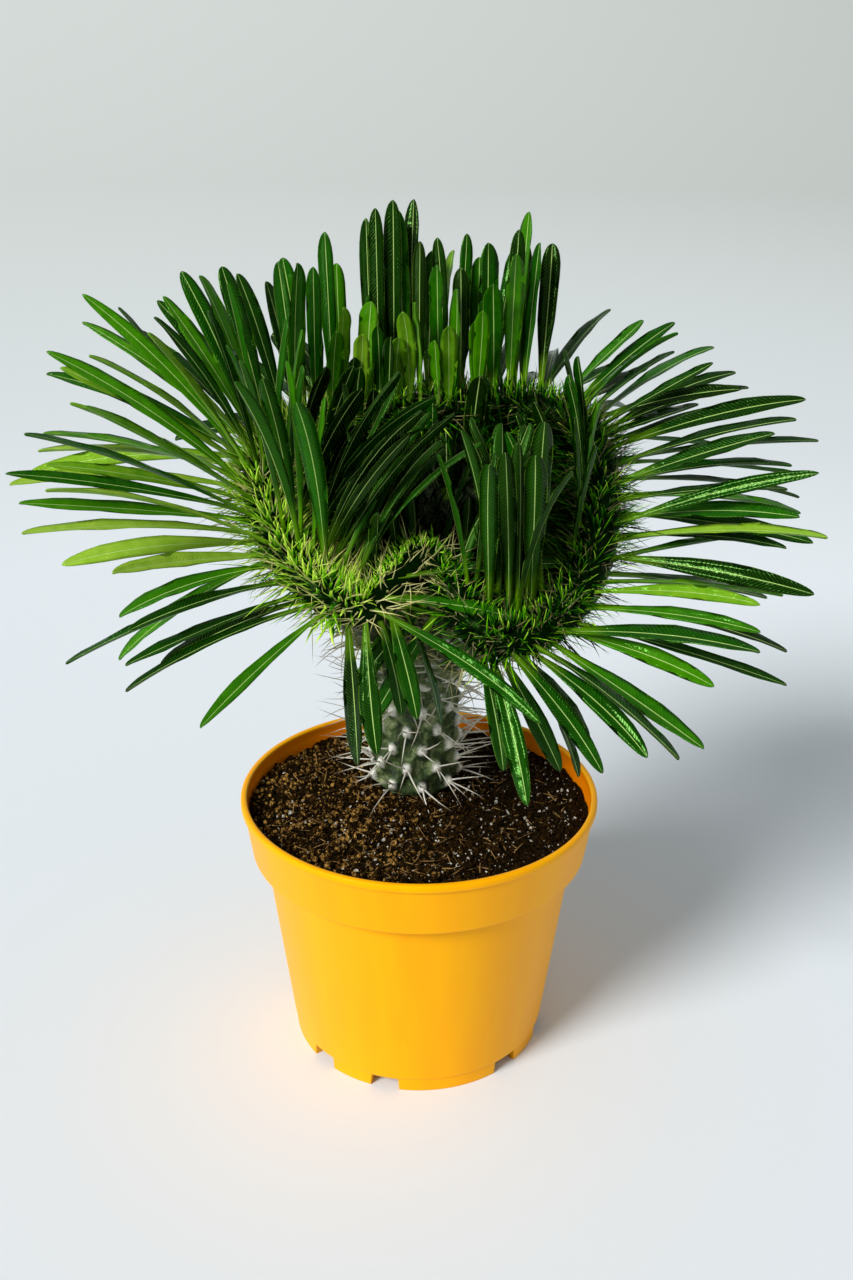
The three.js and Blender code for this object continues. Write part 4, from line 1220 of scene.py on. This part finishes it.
def youngTissueMaterial():
    # young leaf tissue: bright, thin-skinned and moist, darker towards its root
    material, surface, add = newMaterial("youngTissue")
    place = add("TexCoord")["Object"]
    tone, along = (add("Attribute", attribute_name=label)["Fac"] for label in ("tone", "along"))
    mottle = add("TexNoise", {"Vector": place, "Scale": 260, "Detail": 3})["Fac"]     # 4 mm
    tipward = add("Math", {0: along, 1: 0.5, 2: tone}, operation="MULTIPLY_ADD")[0]
    shifted = add("Math", {0: mottle, 1: 0.3, 2: tipward}, operation="MULTIPLY_ADD")[0]
    shade = add("Math", {0: shifted, 1: 0.35}, operation="SUBTRACT")[0]
    setInputs(surface, {
        "Base Color": add("ValToRGB", {"Fac": shade}, youngLeaf["greens"])[0],
        "Roughness": 0.36,
        "IOR": 1.45,
        "Specular IOR Level": 0.16,
        "Specular Tint": youngLeaf["shine"],
    })
    return material


youngTissue = youngTissueMaterial()
makeBand()
makeYoungLeaves()
makeHollowTufts()
ridgeSpines()
print("growing line made")


# floor, light and camera
studio = {
    "floorColour": "#E2E8EC",
    "sweepColour": "#CACFCB",         # the paper's far, rising part, at the left, and at the right with painted shade
    "sweepShade": "#A8ACA8",
    "flatRadius": 1700,
    "steepness": 9000,                # the sweep's rise is the distance beyond, squared, over this
    "sides": 96,
    "worldColour": "#EDF2F6",
    "worldStrength": 0.42,
    "windowStrength": 3.45,
    "windowFrom": (-0.62, -0.6, 0.62),
    "windowWidth": 22,                # degrees across, which softens the shadow's edge
    "camera": (3.755, -700.2, 563.7),
    "pitch": 22.98,                   # degrees below level
    "roll": 0.46,
    "sensor": 36,
    "lens": 36.2,
}


def mattPaper():
    # uncoated paper: matt and pale, and a little darker where it rises far behind and towards the
    # right, as painted shade
    material, surface, add = newMaterial("mattPaper")
    place = add("TexCoord")["Object"]
    away = add("VectorMath", {0: place}, operation="LENGTH")["Value"]
    far = add("MapRange", {"Value": away, "From Min": 1.0, "From Max": 3.4})[0]
    across = add("SeparateXYZ", {0: place})["X"]
    side = add("MapRange", {"Value": across, "From Min": -1.6, "From Max": 1.6})[0]
    back = add("Mix", {0: side, 6: studio["sweepColour"], 7: studio["sweepShade"]},
               data_type="RGBA")[2]
    tint = add("Mix", {0: far, 6: studio["floorColour"], 7: back}, data_type="RGBA")[2]
    setInputs(surface, {"Base Color": tint, "Roughness": 0.9})
    return material


def makeFloor():
    # flat round the pot, then z grows with the square of the radius beyond, like a paper sweep
    sides = studio["sides"]
    radius = np.concatenate([[0.02], np.linspace(0.3, 6.5, 48)])[:, None] / millimetre
    height = np.maximum(0, radius - studio["flatRadius"]) ** 2 / studio["steepness"]
    rings = polar(radius, np.arange(sides) / sides * fullTurn, height)
    mesh = bpy.data.meshes.new("paperSweep")
    mesh.from_pydata(rings.reshape(-1, 3) * millimetre, [],
                     gridFaces(len(radius), sides).tolist() + [list(range(sides))])
    mesh.shade_smooth()
    mesh.materials.append(mattPaper())
    sweep = addObject("paperSweep", mesh)


def addWindowLight():
    # a wide, distant light that shines from `windowFrom` towards the pot
    light = bpy.data.lights.new("softWindow", "SUN")
    light.energy, light.angle = studio["windowStrength"], math.radians(studio["windowWidth"])
    x, y, z = studio["windowFrom"]
    turned = (math.atan2(math.hypot(x, y), z), 0, math.atan2(x, -y))
    addObject("softWindow", light).rotation_euler = turned


def addCamera():
    # level and facing +Y, then pitched down and rolled
    lens = bpy.data.cameras.new("studioCamera")
    lens.sensor_width, lens.lens = studio["sensor"], studio["lens"]
    camera = addObject("studioCamera", lens)
    camera.location = [value * millimetre for value in studio["camera"]]
    camera.rotation_mode = "XYZ"
    camera.rotation_euler = (math.radians(90 - studio["pitch"]), 0, 0)
    camera.rotation_euler.rotate_axis("Z", math.radians(studio["roll"]))
    bpy.context.scene.camera = camera


makeFloor()
world = bpy.data.worlds.new("studioWorld")
bpy.context.scene.world = world
world.use_nodes = True
setInputs(world.node_tree.nodes["Background"], {"Color": studio["worldColour"],
                                                "Strength": studio["worldStrength"]})
addWindowLight()
addCamera()
bpy.context.scene.view_settings.view_transform = "Standard"
print("studio made")
